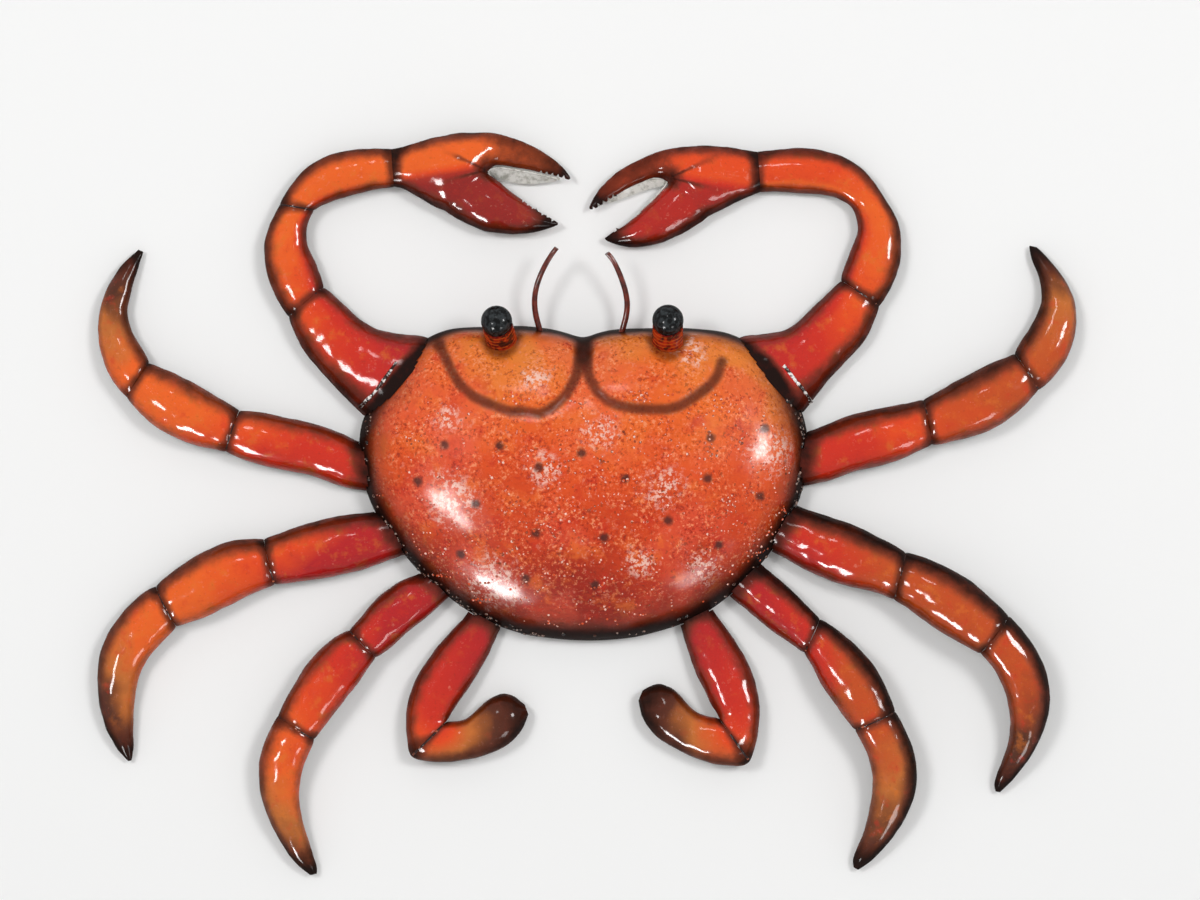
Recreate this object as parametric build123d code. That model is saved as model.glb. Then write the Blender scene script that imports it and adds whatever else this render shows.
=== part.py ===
from build123d import *
import math
import os

os.makedirs("parts", exist_ok=True)

# Wall-hung crab of formed and welded steel sheet, open at the back, in millimetres.
# +X is to the viewer's right, +Z is up and +Y goes into the wall, which is the plane y = 0.
# The origin is the centre of the hanging hole, on the face that lies against the wall.

# Overall size, and the same width in the photo's pixels
span = 508.0
span_px = 980.0
hole_px = (584.0, 400.0)
mm_per_px = span / span_px

# Sheet, and the round-over where two limb sections meet
sheet = 1.2
joint_run = 3.6
joint_width_share = 0.95
joint_crown_share = 0.27
bow_top_share = 0.75
joint_shoulder_share = 0.35
tip_wall_share = 0.35
section_step = 4.5

# Crown of each kind of limb, as a share of the limb's width at the same place
leg_crown_share = 0.42
shoulder_crown_share = 0.31
forearm_crown_share = 0.40
palm_crown_share = 0.34
finger_crown_share = 0.42
paddle_crown_share = 0.36

# Carapace
dome_depth = 44.0
dome_flank_share = 2.5
dome_top_share = 2.2
crease_radius = 5.5
crease_bite = 1.5

# Eyes and antennae
eye_diameter = 16.0
eye_reach = 13.0
stalk_base_diameter = 17.0
stalk_neck_diameter = 15.5
stalk_root = 7.0
ball_seat = 4.0
antenna_wire = 3.2
antenna_tip_wire = 2.6
antenna_root_depth = 9.0
antenna_tip_depth = 24.0

# Hanger strap across the open back
strap_width = 16.0
strap_thickness = 2.0
hang_hole_diameter = 8.0

# Saw teeth cut in the mouth edges of the claws
tooth_pitch = 3.0
tooth_depth = 1.1

# Room left where the lower finger of a claw seats on the palm
finger_clearance = 0.1

# How far each limb's back edge stands off the wall: root, joints in order, end
arm_root_off = 3.0
left_elbow_off = 6.0
left_crease_off = 7.0
left_wrist_off = 7.0
right_elbow_off = 5.0
right_wrist_off = 5.0
leg_root_off = 3.0
front_leg_knee_off = 8.0
front_leg_ankle_off = 8.0
left_rear_knee_off = 10.0
left_rear_ankle_off = 12.0
right_middle_knee_off = 14.0
right_middle_ankle_off = 20.0
right_rear_knee_off = 12.0
right_rear_ankle_off = 16.0
leg_tip_off = 2.5
paddle_elbow_off = 8.0
paddle_knob_off = 6.0

# One overrun for every cut
overrun = 3.0

# Carapace in pixels: centre, half width and height, and the outline clockwise from the notch
shell_centre_px = (584.0, 484.0)
shell_half_px = (226.0, 157.0)
shell_outline_px = [
    (584, 338), (600, 332), (622, 329), (655, 328), (690, 328.5), (718, 330.5), (745, 340),
    (770, 357), (787, 379), (799, 405), (807, 430), (809, 458), (803, 488), (790, 521),
    (770, 553), (745, 582), (712, 609), (678, 625), (640, 635.5), (600, 640), (560, 639),
    (520, 633), (485, 620), (451, 599), (420, 572), (395, 542), (374, 510), (362, 475),
    (359, 442), (364, 417), (378, 390), (398, 364), (420, 343), (447, 329.5), (480, 327),
    (515, 326), (548, 328.5), (570, 333.5),
]
ring_shares = [1.0, 0.985, 0.955, 0.91, 0.85, 0.77, 0.67, 0.54, 0.38, 0.2, 0.04]

# The pressed crease round each brow, in pixels
left_crease_px = [
    (444, 352), (451, 369), (464, 387), (486, 402), (513, 411), (541, 412), (563, 400),
    (577, 378), (583, 349),
]
right_crease_px = [
    (585, 349), (590, 378), (604, 400), (628, 409), (656, 410.5), (683, 405), (704, 391),
    (717, 372), (724, 354),
]

# Eyes and antennae in pixels
left_stalk_px, left_ball_px = (502, 341), (498, 323)
right_stalk_px, right_ball_px = (667, 343), (667, 322)
left_antenna_px = [(541, 341), (539, 327), (535, 306), (537, 288), (545, 268), (557, 250)]
right_antenna_px = [(621, 341), (623, 328), (627, 306), (624, 288), (618, 272), (607, 255)]

# Limb sections in pixels, from the root outward. Each pair holds the two edges of the
# section at one place: first the edge that starts out as the upper or outer one.
left_leg_1_px = (
    [
        ((386, 451), (389, 497)), ((360, 442), (366, 491)), ((341, 433), (345, 487)),
        ((315, 424), (310, 475)), ((284, 417), (274, 468)), ((260, 412), (247, 461)),
        ((241, 410), (227, 452)),
    ],
    [
        ((241, 410), (227, 452)), ((220, 398), (200, 446)), ((200, 386), (178, 438.5)),
        ((180, 375.5), (157, 427)), ((163, 368.5), (140, 412)), ((151, 363), (128, 398)),
    ],
    [
        ((151, 363), (128, 398)), ((147, 354.5), (115, 383)), ((139, 341.5), (105.5, 363)),
        ((131, 327), (100, 343)), ((128.5, 312), (99, 322)), ((131, 296), (103, 301)),
        ((135, 281), (111, 282)), ((139, 268), (121, 267.5)), ((142.5, 257), (132, 255.5)),
        ((143.5, 252), (139, 250)),
    ],
)
right_leg_1_px = (
    [
        ((786, 439), (780, 491)), ((810, 431), (804, 486)), ((827, 424), (829, 481)),
        ((851, 415), (847, 474)), ((878, 408.5), (868, 468)), ((902, 404), (894, 462)),
        ((922, 400), (931, 445)),
    ],
    [
        ((922, 400), (931, 445)), ((936, 392), (942, 443.5)), ((954, 382), (964, 438.5)),
        ((974, 371.5), (986, 431.5)), ((992, 362.5), (1006, 420.5)),
        ((1004, 358), (1021, 408)), ((1013, 354), (1037, 391)),
    ],
    [
        ((1013, 354), (1037, 391)), ((1018, 344.5), (1050, 380)), ((1026, 332), (1062.5, 364)),
        ((1034, 318), (1071.5, 345)), ((1040, 304), (1076, 323)), ((1040.5, 289), (1073.5, 300)),
        ((1037, 275), (1066, 283)), ((1032.5, 263), (1056, 268)), ((1029, 253), (1045, 256)),
        ((1028.5, 246), (1036, 247)),
    ],
)
left_leg_2_px = (
    [
        ((397, 507), (420, 551)), ((374, 512), (398, 556.5)), ((353, 514), (368, 568)),
        ((325, 519), (336, 576)), ((300, 526), (312, 580)), ((281, 533.5), (292, 582.5)),
        ((265, 538), (276, 584.5)),
    ],
    [
        ((265, 538), (276, 584.5)), ((250, 539), (260, 590.5)), ((233, 540.5), (243, 598)),
        ((213, 547), (225, 607.5)), ((195, 556.5), (208, 616)), ((176, 569.5), (193, 621)),
        ((157, 585), (178, 626.5)),
    ],
    [
        ((157, 585), (178, 626.5)), ((146, 591), (170, 635)), ((130, 605), (158, 647.5)),
        ((115, 624), (148, 660)), ((104, 643.5), (141, 674)), ((98.5, 667), (137, 690)),
        ((98.5, 690), (135, 707)), ((102, 713), (134, 723)), ((109, 733), (134, 737)),
        ((117.5, 748.5), (134, 748)), ((125.5, 758.5), (133.5, 756)), ((128.5, 761), (132, 760)),
    ],
)
right_leg_2_px = (
    [
        ((775, 497), (750, 541)), ((797, 506), (772, 551)), ((821, 514), (797, 565)),
        ((846, 522), (823, 577.5)), ((868, 532), (849, 586)), ((888, 542), (874, 591.5)),
        ((904, 551), (892, 599)),
    ],
    [
        ((904, 551), (892, 599)), ((923, 557), (907, 608)), ((944, 565.5), (927, 623.5)),
        ((964, 577.5), (946, 635.5)), ((982, 592), (961, 643.5)), ((995, 604), (970, 648.5)),
        ((1006, 614), (977, 652)),
    ],
    [
        ((1006, 614), (977, 652)), ((1018, 627), (988, 663)), ((1030, 642), (996.5, 677)),
        ((1039, 659), (1003, 692)), ((1045.5, 677.5), (1007, 708)), ((1048, 697), (1008.5, 723)),
        ((1045.5, 719), (1007, 738)), ((1038.5, 740), (1003.5, 753)), ((1028, 759), (998.5, 767)),
        ((1015.5, 776), (994.5, 778)), ((1005, 787), (993, 786)), ((999.5, 792), (995, 791)),
    ],
)
left_leg_3_px = (
    [
        ((439, 559), (464, 586)), ((420, 573), (445, 600.5)), ((403, 579.5), (428, 616)),
        ((387.5, 590), (411, 629)), ((373, 602), (397, 642)), ((361.5, 617), (386, 651)),
        ((350, 629), (377, 657)),
    ],
    [
        ((350, 629), (377, 657)), ((338, 635), (369, 667)), ((325, 645), (361, 679)),
        ((312, 658), (352, 691)), ((301, 674.5), (342, 704)), ((290, 693), (330, 719)),
        ((279, 714), (316, 738)),
    ],
    [
        ((279, 714), (316, 738)), ((269.5, 732), (309.5, 753)), ((262.5, 751), (303.5, 769)),
        ((260, 770), (300.5, 785)), ((261, 790), (300.5, 802)), ((265.5, 808.5), (303, 818)),
        ((273, 826), (307, 833)), ((283, 844), (312, 848)), ((293, 859), (316, 861)),
        ((302.5, 869), (318, 868)), ((310.5, 874.5), (317, 873)),
    ],
)
right_leg_3_px = (
    [
        ((743, 548), (712, 580)), ((761, 564.5), (730, 596)), ((774, 575), (748, 611)),
        ((789, 587.5), (767, 627)), ((803, 602), (786, 640)), ((819, 617.5), (803, 652)),
    ],
    [
        ((819, 617.5), (803, 652)), ((835, 627.5), (811, 664)), ((850, 640), (817, 677)),
        ((865, 655), (825, 690)), ((877, 671.5), (834, 703)), ((886, 689.5), (843, 715.5)),
        ((894, 709.5), (853, 728)),
    ],
    [
        ((894, 709.5), (853, 728)), ((903, 727), (861, 742)), ((911, 745), (868, 759)),
        ((915, 763), (871, 776)), ((915.5, 782), (871, 792)), ((911.5, 801), (868.5, 808)),
        ((903, 820), (865, 824)), ((891.5, 838), (860, 839.5)), ((877, 854.5), (854.5, 852)),
        ((865.5, 865), (851.5, 861)), ((858, 869.5), (853, 867)),
    ],
)
left_arm_px = (
    [
        ((382, 431), (449, 353)), ((363, 415), (428, 337.5)), ((347, 399), (401, 334.5)),
        ((329, 380.5), (379, 330)), ((312, 361), (361, 320)), ((299, 341.5), (344, 304)),
        ((289, 318), (325, 287.5)),
    ],
    [
        ((289, 318), (325, 287.5)), ((279, 302), (321, 275.5)), ((270.5, 284), (315, 260.5)),
        ((265.5, 264), (309, 248)), ((265, 245), (307, 235)), ((270.5, 226), (309, 222)),
        ((280, 205.5), (315, 211)),
    ],
    [
        ((280, 205.5), (315, 211)), ((290, 188), (322, 206)), ((303, 172.5), (333, 202)),
        ((318, 161), (345, 198)), ((335, 154), (356, 195)), ((353, 150.5), (368, 192)),
        ((372, 149.2), (381, 189.5)), ((392, 149.5), (395, 187.5)),
    ],
)
right_arm_px = (
    [
        ((789, 425), (722, 353.5)), ((806, 408), (740, 337)), ((822, 388), (765, 334)),
        ((840, 367), (787, 329)), ((855, 352), (804, 316)), ((867, 337), (820, 300.5)),
        ((879, 307), (840, 281)),
    ],
    [
        ((879, 307), (840, 281)), ((889, 291.5), (843.5, 270)), ((896.5, 275), (848, 257)),
        ((900.5, 257), (853, 244)), ((900.5, 237), (857.5, 230)), ((896, 219), (855.5, 217)),
        ((887, 203), (850, 206.5)), ((876, 186), (841, 200.5)), ((864, 171.5), (830, 196.5)),
        ((848, 160), (817, 195)), ((830, 153), (803, 194)), ((811, 149), (788, 193)),
        ((790, 149), (775, 192)), ((757, 152.5), (760, 193)),
    ],
)
left_palm_px = [
    ((392, 149.5), (395, 187.5)), ((404, 147), (405, 190)), ((420, 142), (420, 199)),
    ((438, 137.5), (436, 208)), ((456, 134), (450, 212)), ((472, 133), (463, 206)),
    ((484, 133), (474, 192)), ((494, 133.5), (484, 176)), ((505, 136), (496, 166.5)),
    ((520, 141), (512, 168)), ((535, 147.5), (528, 171)), ((549, 156.5), (543, 174)),
    ((560, 165.5), (556, 177)), ((567.5, 172.5), (565, 179.5)), ((572, 179), (569, 181.5)),
]
left_finger_px = [
    ((425, 163), (424, 194)), ((440, 165), (438, 205)), ((455, 166), (452, 216.5)),
    ((470, 168), (468, 225)), ((484, 172), (484, 231.5)), ((497, 180), (500, 234.5)),
    ((509, 190.5), (516, 235)), ((522, 200), (529, 234)), ((534, 208.5), (540, 231.8)),
    ((545, 215), (549, 229)), ((554, 220.5), (555.5, 227)), ((558.5, 223), (558.8, 226)),
]
right_palm_px = [
    ((757, 152.5), (760, 193)), ((745, 150), (748, 197.5)), ((728, 147.5), (734, 204)),
    ((711, 146), (717, 213)), ((696, 146), (703, 218)), ((683, 147), (692, 212)),
    ((672, 148.5), (681, 199)), ((663, 150.5), (670, 184.5)), ((652, 154), (658, 178.5)),
    ((640, 159.5), (646, 181)), ((627, 166), (633, 186.5)), ((615, 174), (621, 193)),
    ((605, 183), (611, 199.5)), ((597, 193), (602, 205.5)), ((591, 203), (594.5, 209)),
    ((588.3, 209), (591, 210.8)),
]
right_finger_px = [
    ((716, 176), (719, 206)), ((702, 176), (706, 219)), ((689, 177), (691, 229)),
    ((677, 180), (678, 236.5)), ((666, 187.5), (663, 243)), ((656, 197), (649, 246.5)),
    ((645, 208), (636, 248)), ((634, 218.5), (624, 247)), ((622, 227), (615, 245)),
    ((611, 233), (608.5, 243)), ((604, 238), (604.5, 241.5)),
]
left_paddle_px = (
    [
        ((480, 590), (511, 608)), ((467, 614), (499, 631)), ((454, 628), (491, 649)),
        ((440, 644), (482, 666)), ((427.5, 660), (472, 682)), ((417, 676.5), (463, 696)),
        ((410, 694.5), (455, 708)), ((406.5, 714), (450, 716)), ((406.5, 735), (448.5, 719)),
        ((411, 756), (447.5, 720)),
    ],
    [
        ((411, 756), (447.5, 720)), ((421, 760), (453, 720)), ((436, 761.3), (460, 719.5)),
        ((452, 761), (468, 718)), ((468, 758.5), (475, 711)), ((484, 755), (482, 704)),
        ((500, 749), (490.5, 697)), ((513, 740.5), (502, 692.5)), ((522, 731), (512.5, 694)),
        ((527, 721), (520, 698.5)), ((528.5, 713.5), (525, 704)),
    ],
)
right_paddle_px = (
    [
        ((702, 589), (672, 603)), ((712, 609), (680, 625)), ((724, 625), (685, 642)),
        ((736.5, 643), (691, 660)), ((746.5, 661), (698, 677.5)), ((754, 679), (705, 692)),
        ((758.5, 697), (711, 704)), ((759.5, 715), (716, 712)), ((757.5, 736), (717.5, 715)),
        ((750, 761.5), (718.5, 717)),
    ],
    [
        ((750, 761.5), (718.5, 717)), ((741, 765.5), (714, 716)), ((728, 765.3), (709, 715.5)),
        ((713, 762.8), (703, 714)), ((698, 758.5), (697, 712)), ((684, 752.5), (690, 707)),
        ((671, 745.5), (684, 700)), ((659, 738), (677, 691)), ((648.5, 728), (668, 685)),
        ((641.5, 717), (657, 682.5)), ((638.3, 707), (648, 685)), ((638.3, 700), (642.5, 690)),
    ],
)

# Where the saw teeth run along the mouth edges, in pixels
left_upper_teeth_px = ((541, 173.5), (566, 179.5))
left_lower_teeth_px = ((524, 201), (555, 221))
right_upper_teeth_px = ((594, 209), (618, 195))
right_lower_teeth_px = ((639, 213.5), (613, 232))


def at(point_px, off_wall):
    """A point of the photo, at a distance in front of the wall."""
    x = (point_px[0] - hole_px[0]) * mm_per_px
    z = (hole_px[1] - point_px[1]) * mm_per_px
    return Vector(x, -off_wall, z)


def section_plane(edge_a, edge_b):
    """The plane of a limb section, square to the limb, with its own y axis off the wall."""
    across = (edge_b - edge_a).normalized()
    forward = Vector(0, -1, 0)
    return Plane(origin=(edge_a + edge_b) / 2, x_dir=across, z_dir=across.cross(forward))


def bow(half, crown):
    """The arched line of a section: upright at both edges and as high as the crown between."""
    lift = crown / bow_top_share
    return Bezier((half, 0), (half, lift), (-half, lift), (-half, 0))


def arch(station):
    """A section of an open-backed limb: an arched strip of sheet between its two back edges."""
    edge_a, edge_b, crown = station
    half = (edge_b - edge_a).length / 2
    wall = min(sheet, half * tip_wall_share, crown * tip_wall_share)
    outer = bow(half, crown)
    inner = bow(half - wall, crown - wall)
    ends = [Line(outer @ 0, inner @ 0), Line(outer @ 1, inner @ 1)]
    return section_plane(edge_a, edge_b) * make_face([outer, inner] + ends)


def filled_arch(station, clearance):
    """The same section filled in, larger by a clearance and carried past its back edges."""
    edge_a, edge_b, crown = station
    half = (edge_b - edge_a).length / 2 + clearance
    outer = bow(half, crown + clearance)
    foot = Polyline(outer @ 1, (-half, -overrun), (half, -overrun), outer @ 0)
    return section_plane(edge_a, edge_b) * make_face([outer, foot])


def smooth_value(values, places, place):
    """The value at a place along a limb, on a smooth curve through the measured sections."""
    index = 0
    while index < len(places) - 2 and places[index + 1] <= place:
        index += 1
    run = places[index + 1] - places[index]
    share = (place - places[index]) / run

    def slope(near):
        low, high = max(near - 1, 0), min(near + 1, len(places) - 1)
        return (values[high] - values[low]) * (run / (places[high] - places[low]))

    step = values[index + 1] - values[index]
    eased = share * share * (3 - 2 * share)
    leaving = slope(index) * (share * (1 - share) ** 2)
    arriving = slope(index + 1) * (share**2 * (1 - share))
    return values[index] + step * eased + leaving - arriving


def limb_sections(pairs_px, offs, crown_shares, joint_at_start=True, joint_at_end=True):
    """Evenly spaced sections of a limb piece, each two back edges and a crown, drawn in at joints."""
    middles = [at(((a[0] + b[0]) / 2, (a[1] + b[1]) / 2), 0) for a, b in pairs_px]
    places = [0]
    for last, following in zip(middles, middles[1:]):
        places.append(places[-1] + (following - last).length)
    length = places[-1]
    offs_here = [offs[0] + (offs[1] - offs[0]) * place / length for place in places]
    edges_a = [at(a, off) for (a, b), off in zip(pairs_px, offs_here)]
    edges_b = [at(b, off) for (a, b), off in zip(pairs_px, offs_here)]

    def section(place, pinch):
        edge_a = smooth_value(edges_a, places, place)
        edge_b = smooth_value(edges_b, places, place)
        width = (edge_b - edge_a).length
        share = crown_shares[0] + (crown_shares[1] - crown_shares[0]) * place / length
        share = share + (joint_crown_share - share) * pinch
        inset = (edge_b - edge_a) * ((1 - joint_width_share) / 2 * pinch)
        return (edge_a + inset, edge_b - inset, width * share)

    start = joint_run if joint_at_start else 0
    end = length - joint_run if joint_at_end else length
    count = math.ceil((end - start) / section_step)
    sections = [section(start + (end - start) * index / count, 0) for index in range(count + 1)]
    shoulder = joint_run * joint_shoulder_share
    if joint_at_start:
        sections = [section(0, 1), section(shoulder, joint_shoulder_share)] + sections
    if joint_at_end:
        sections += [section(length - shoulder, joint_shoulder_share), section(length, 1)]
    return sections


def limb_piece(pairs_px, offs, crown_shares, joint_at_start=True, joint_at_end=True):
    """One formed section of a limb, an arched sheet open at the back and at its joints."""
    sections = limb_sections(pairs_px, offs, crown_shares, joint_at_start, joint_at_end)
    return loft([arch(station) for station in sections])


def shell_ring(share, inset, depth):
    """One closed contour of the carapace, from the rim at share 1 to the top near share 0."""
    points = []
    for x, y in shell_outline_px:
        dx, dy = x - shell_centre_px[0], y - shell_centre_px[1]
        angle = math.atan2(dy / shell_half_px[1], dx / shell_half_px[0])
        round_x = shell_half_px[0] * math.cos(angle)
        round_y = shell_half_px[1] * math.sin(angle)
        flat_x = round_x + (dx - round_x) * share
        flat_y = round_y + (dy - round_y) * share
        reach = math.hypot(flat_x, flat_y) * mm_per_px
        kept = (reach - inset) / reach * share
        points.append((shell_centre_px[0] + flat_x * kept, shell_centre_px[1] + flat_y * kept))
    height = depth * (1 - share**dome_flank_share) ** (1 / dome_top_share)
    return [at(point, height) for point in points]


def shell_body(inset, depth):
    """The carapace as a filled dome, its contours joined by one smooth surface."""
    rim = shell_ring(1.0, inset, depth)
    steps = [(q - p).length for p, q in zip(rim, rim[1:] + rim[:1])]
    parameters = [sum(steps[:index]) / sum(steps) for index in range(len(steps) + 1)]
    rings = []
    for share in ring_shares:
        ring = shell_ring(share, inset, depth)
        edge = Edge.make_spline(ring, periodic=True, parameters=parameters)
        rings.append(Wire([edge]))
    return Solid.make_loft(rings)


def rod(points, radii):
    """A round bar through the points, thick as the radii say."""
    sections = []
    for index, (point, radius) in enumerate(zip(points, radii)):
        before = points[max(index - 1, 0)]
        after = points[min(index + 1, len(points) - 1)]
        sections.append(Plane(origin=point, z_dir=after - before) * Circle(radius))
    return loft(sections)


def front_point(body, point_px):
    """Where the line of sight through a photo point meets a body, and the way out there."""
    sight = Axis(at(point_px, dome_depth * 2), (0, 1, 0))
    hits = body.find_intersection_points(sight)
    point, normal = min(hits, key=lambda hit: hit[0].Y)
    return point, normal if normal.Y < 0 else normal * -1


def crease_tool(body, path_px, radius):
    """A bar laid along a brow crease, so deep that it bites into the dome's outside."""
    points = []
    for point_px in path_px:
        point, normal = front_point(body, point_px)
        points.append(point + normal * (crease_radius - crease_bite))
    return rod(points, [radius] * len(points))


def carapace(outside, inside):
    """Domed shell of one sheet, with a creased brow round each eye and an open back."""
    for path_px in (left_crease_px, right_crease_px):
        inside = inside - crease_tool(outside, path_px, crease_radius + sheet)
    shell = outside - inside
    for path_px in (left_crease_px, right_crease_px):
        shell = shell - crease_tool(outside, path_px, crease_radius)
    return shell


def hanger_strap(inside):
    """Flat bar welded across the open back, with the hole that hangs on the wall's pin."""
    length = shell_half_px[0] * 2 * mm_per_px
    bar = Pos(0, -strap_thickness / 2, 0) * Box(length, strap_thickness, strap_width)
    hole = Rot(90, 0, 0) * Cylinder(hang_hole_diameter / 2, strap_thickness + overrun)
    return (bar & inside) - Pos(0, -strap_thickness / 2, 0) * hole


def eye(outside, stalk_px, ball_px):
    """A short fat stalk on the brow and the ball that sits in its end."""
    base, _ = front_point(outside, stalk_px)
    centre = at(ball_px, eye_reach - base.Y)
    way = (centre - base).normalized()
    radii = [stalk_base_diameter / 2, stalk_neck_diameter / 2]
    ball = Pos(centre) * Sphere(eye_diameter / 2)
    stalk = rod([base - way * stalk_root, centre - way * ball_seat], radii)
    return stalk - outside - ball, ball


def antenna(outside, path_px):
    """A bent wire from the top flank of the carapace."""
    count = len(path_px) - 1
    points, radii = [], []
    for index, point_px in enumerate(path_px):
        share = index / count
        off = antenna_root_depth + (antenna_tip_depth - antenna_root_depth) * share
        points.append(at(point_px, off))
        radii.append((antenna_wire + (antenna_tip_wire - antenna_wire) * share) / 2)
    return rod(points, radii) - outside


def saw_teeth(edge_px, mouth_side):
    """The notches along one mouth edge, as wedges pointing from the mouth into the finger."""
    start, end = at(edge_px[0], 0), at(edge_px[1], 0)
    along = (end - start).normalized()
    inward = along.cross(Vector(0, 1, 0)) * mouth_side
    count = int((end - start).length / tooth_pitch)
    wedges = []
    for index in range(count):
        root = start + along * tooth_pitch * index
        outline = [
            root - inward * tooth_depth,
            root + inward * tooth_depth,
            root + along * tooth_pitch / 2 - inward * tooth_depth,
        ]
        wedge = make_face(Polyline(*outline, close=True))
        wedges.append(extrude(wedge, amount=dome_depth, dir=(0, -1, 0)))
    return wedges


def claw(palm_px, finger_px, teeth, off):
    """The palm drawn out into the upper finger, and the lower finger seated on the palm."""
    shares = (palm_crown_share, finger_crown_share)
    palm_sections = limb_sections(palm_px, (off, off), shares, joint_at_end=False)
    palm = loft([arch(station) for station in palm_sections])
    form = loft([filled_arch(station, finger_clearance) for station in palm_sections])
    finger_sections = limb_sections(finger_px, (off, off), shares, False, False)
    finger = loft([arch(station) for station in finger_sections]) - form
    for edge_px, mouth_side in teeth:
        for wedge in saw_teeth(edge_px, mouth_side):
            palm = palm - wedge
            finger = finger - wedge
    return palm, finger


def write(node, shape):
    solids = shape.solids()
    print(node, "solids", len(solids), "volume", round(sum(solid.volume for solid in solids)))
    export_step(shape, "parts/" + node + ".step")


def leg(name, tables_px, offs, outside):
    """Upper, middle and tip sections of a walking leg."""
    shares = (leg_crown_share, leg_crown_share)
    upper = limb_piece(tables_px[0], offs[0:2], shares, joint_at_start=False) - outside
    write(name + "_upper", upper)
    write(name + "_middle", limb_piece(tables_px[1], offs[1:3], shares))
    write(name + "_tip", limb_piece(tables_px[2], offs[2:4], shares, joint_at_end=False))


def paddle(name, tables_px, offs, outside):
    """The two sections of a swimming leg, mitred at the elbow, the lower one ending in a knob."""
    shares = (paddle_crown_share, paddle_crown_share)
    upper = limb_piece(tables_px[0], offs[0:2], shares, joint_at_start=False) - outside
    write(name + "_upper", upper)
    write(name + "_lower", limb_piece(tables_px[1], offs[1:3], shares, joint_at_end=False))


def shoulder(table_px, offs, outside):
    shares = (shoulder_crown_share, forearm_crown_share)
    return limb_piece(table_px, offs, shares, joint_at_start=False) - outside


def main():
    outside = shell_body(0, dome_depth)
    inside = shell_body(sheet, dome_depth - sheet)
    write("carapace", carapace(outside, inside))
    write("hanger_strap", hanger_strap(inside))

    for side, stalk_px, ball_px in (
        ("left", left_stalk_px, left_ball_px),
        ("right", right_stalk_px, right_ball_px),
    ):
        stalk, ball = eye(outside, stalk_px, ball_px)
        write(side + "_eye_stalk", stalk)
        write(side + "_eye_ball", ball)
    write("left_antenna", antenna(outside, left_antenna_px))
    write("right_antenna", antenna(outside, right_antenna_px))

    arm_shares = (forearm_crown_share, forearm_crown_share)
    write("left_arm_shoulder", shoulder(left_arm_px[0], (arm_root_off, left_elbow_off), outside))
    write("left_arm_lower", limb_piece(left_arm_px[1], (left_elbow_off, left_crease_off), arm_shares))
    write("left_arm_upper", limb_piece(left_arm_px[2], (left_crease_off, left_wrist_off), arm_shares))
    left_teeth = ((left_upper_teeth_px, 1), (left_lower_teeth_px, -1))
    palm, finger = claw(left_palm_px, left_finger_px, left_teeth, left_wrist_off)
    write("left_claw_palm", palm)
    write("left_claw_finger", finger)
    write("right_arm_shoulder", shoulder(right_arm_px[0], (arm_root_off, right_elbow_off), outside))
    write("right_arm_forearm", limb_piece(right_arm_px[1], (right_elbow_off, right_wrist_off), arm_shares))
    right_teeth = ((right_upper_teeth_px, 1), (right_lower_teeth_px, -1))
    palm, finger = claw(right_palm_px, right_finger_px, right_teeth, right_wrist_off)
    write("right_claw_palm", palm)
    write("right_claw_finger", finger)

    front = (leg_root_off, front_leg_knee_off, front_leg_ankle_off, leg_tip_off)
    left_rear = (leg_root_off, left_rear_knee_off, left_rear_ankle_off, leg_tip_off)
    right_middle = (leg_root_off, right_middle_knee_off, right_middle_ankle_off, leg_tip_off)
    right_rear = (leg_root_off, right_rear_knee_off, right_rear_ankle_off, leg_tip_off)
    leg("left_leg_1", left_leg_1_px, front, outside)
    leg("left_leg_2", left_leg_2_px, front, outside)
    leg("left_leg_3", left_leg_3_px, left_rear, outside)
    leg("right_leg_1", right_leg_1_px, front, outside)
    leg("right_leg_2", right_leg_2_px, right_middle, outside)
    leg("right_leg_3", right_leg_3_px, right_rear, outside)

    paddle_offs = (leg_root_off, paddle_elbow_off, paddle_knob_off)
    paddle("left_paddle", left_paddle_px, paddle_offs, outside)
    paddle("right_paddle", right_paddle_px, paddle_offs, outside)


main()
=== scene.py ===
# %% [markdown]
# # A wall crab of formed and welded sheet steel
# The ornament is cut from thin sheet, dished over a former, welded into a crab that is open
# at the back, and airbrushed with gloss enamel. Here each formed sheet is raised again as a
# clean mesh with smooth curvature, because gloss paint shows every flaw of a surface.
# Everything is in metres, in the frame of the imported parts: +X right, +Z up, +Y into the wall.

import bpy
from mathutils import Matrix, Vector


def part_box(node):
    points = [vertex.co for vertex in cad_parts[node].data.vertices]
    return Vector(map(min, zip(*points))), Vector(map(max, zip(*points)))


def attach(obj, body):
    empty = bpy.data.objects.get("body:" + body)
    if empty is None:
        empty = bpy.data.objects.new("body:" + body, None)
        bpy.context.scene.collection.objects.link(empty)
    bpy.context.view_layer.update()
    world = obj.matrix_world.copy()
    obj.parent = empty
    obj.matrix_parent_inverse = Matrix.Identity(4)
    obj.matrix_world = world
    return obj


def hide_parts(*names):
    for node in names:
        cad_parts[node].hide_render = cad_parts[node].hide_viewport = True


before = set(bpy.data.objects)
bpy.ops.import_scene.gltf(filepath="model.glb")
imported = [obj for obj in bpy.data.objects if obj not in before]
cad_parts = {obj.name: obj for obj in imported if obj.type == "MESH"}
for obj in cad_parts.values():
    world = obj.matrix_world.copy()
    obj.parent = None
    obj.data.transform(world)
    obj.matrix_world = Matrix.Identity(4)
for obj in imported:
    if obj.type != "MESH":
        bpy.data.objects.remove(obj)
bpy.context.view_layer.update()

# %% Scale and places
import math
import random

import bmesh
import bpy
from mathutils import Matrix, Vector
from mathutils.bvhtree import BVHTree

MM = 0.001
PX = 0.508 / 980
HOLE_PX = (584, 400)
FRONT = Vector((0, -1, 0))


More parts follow.
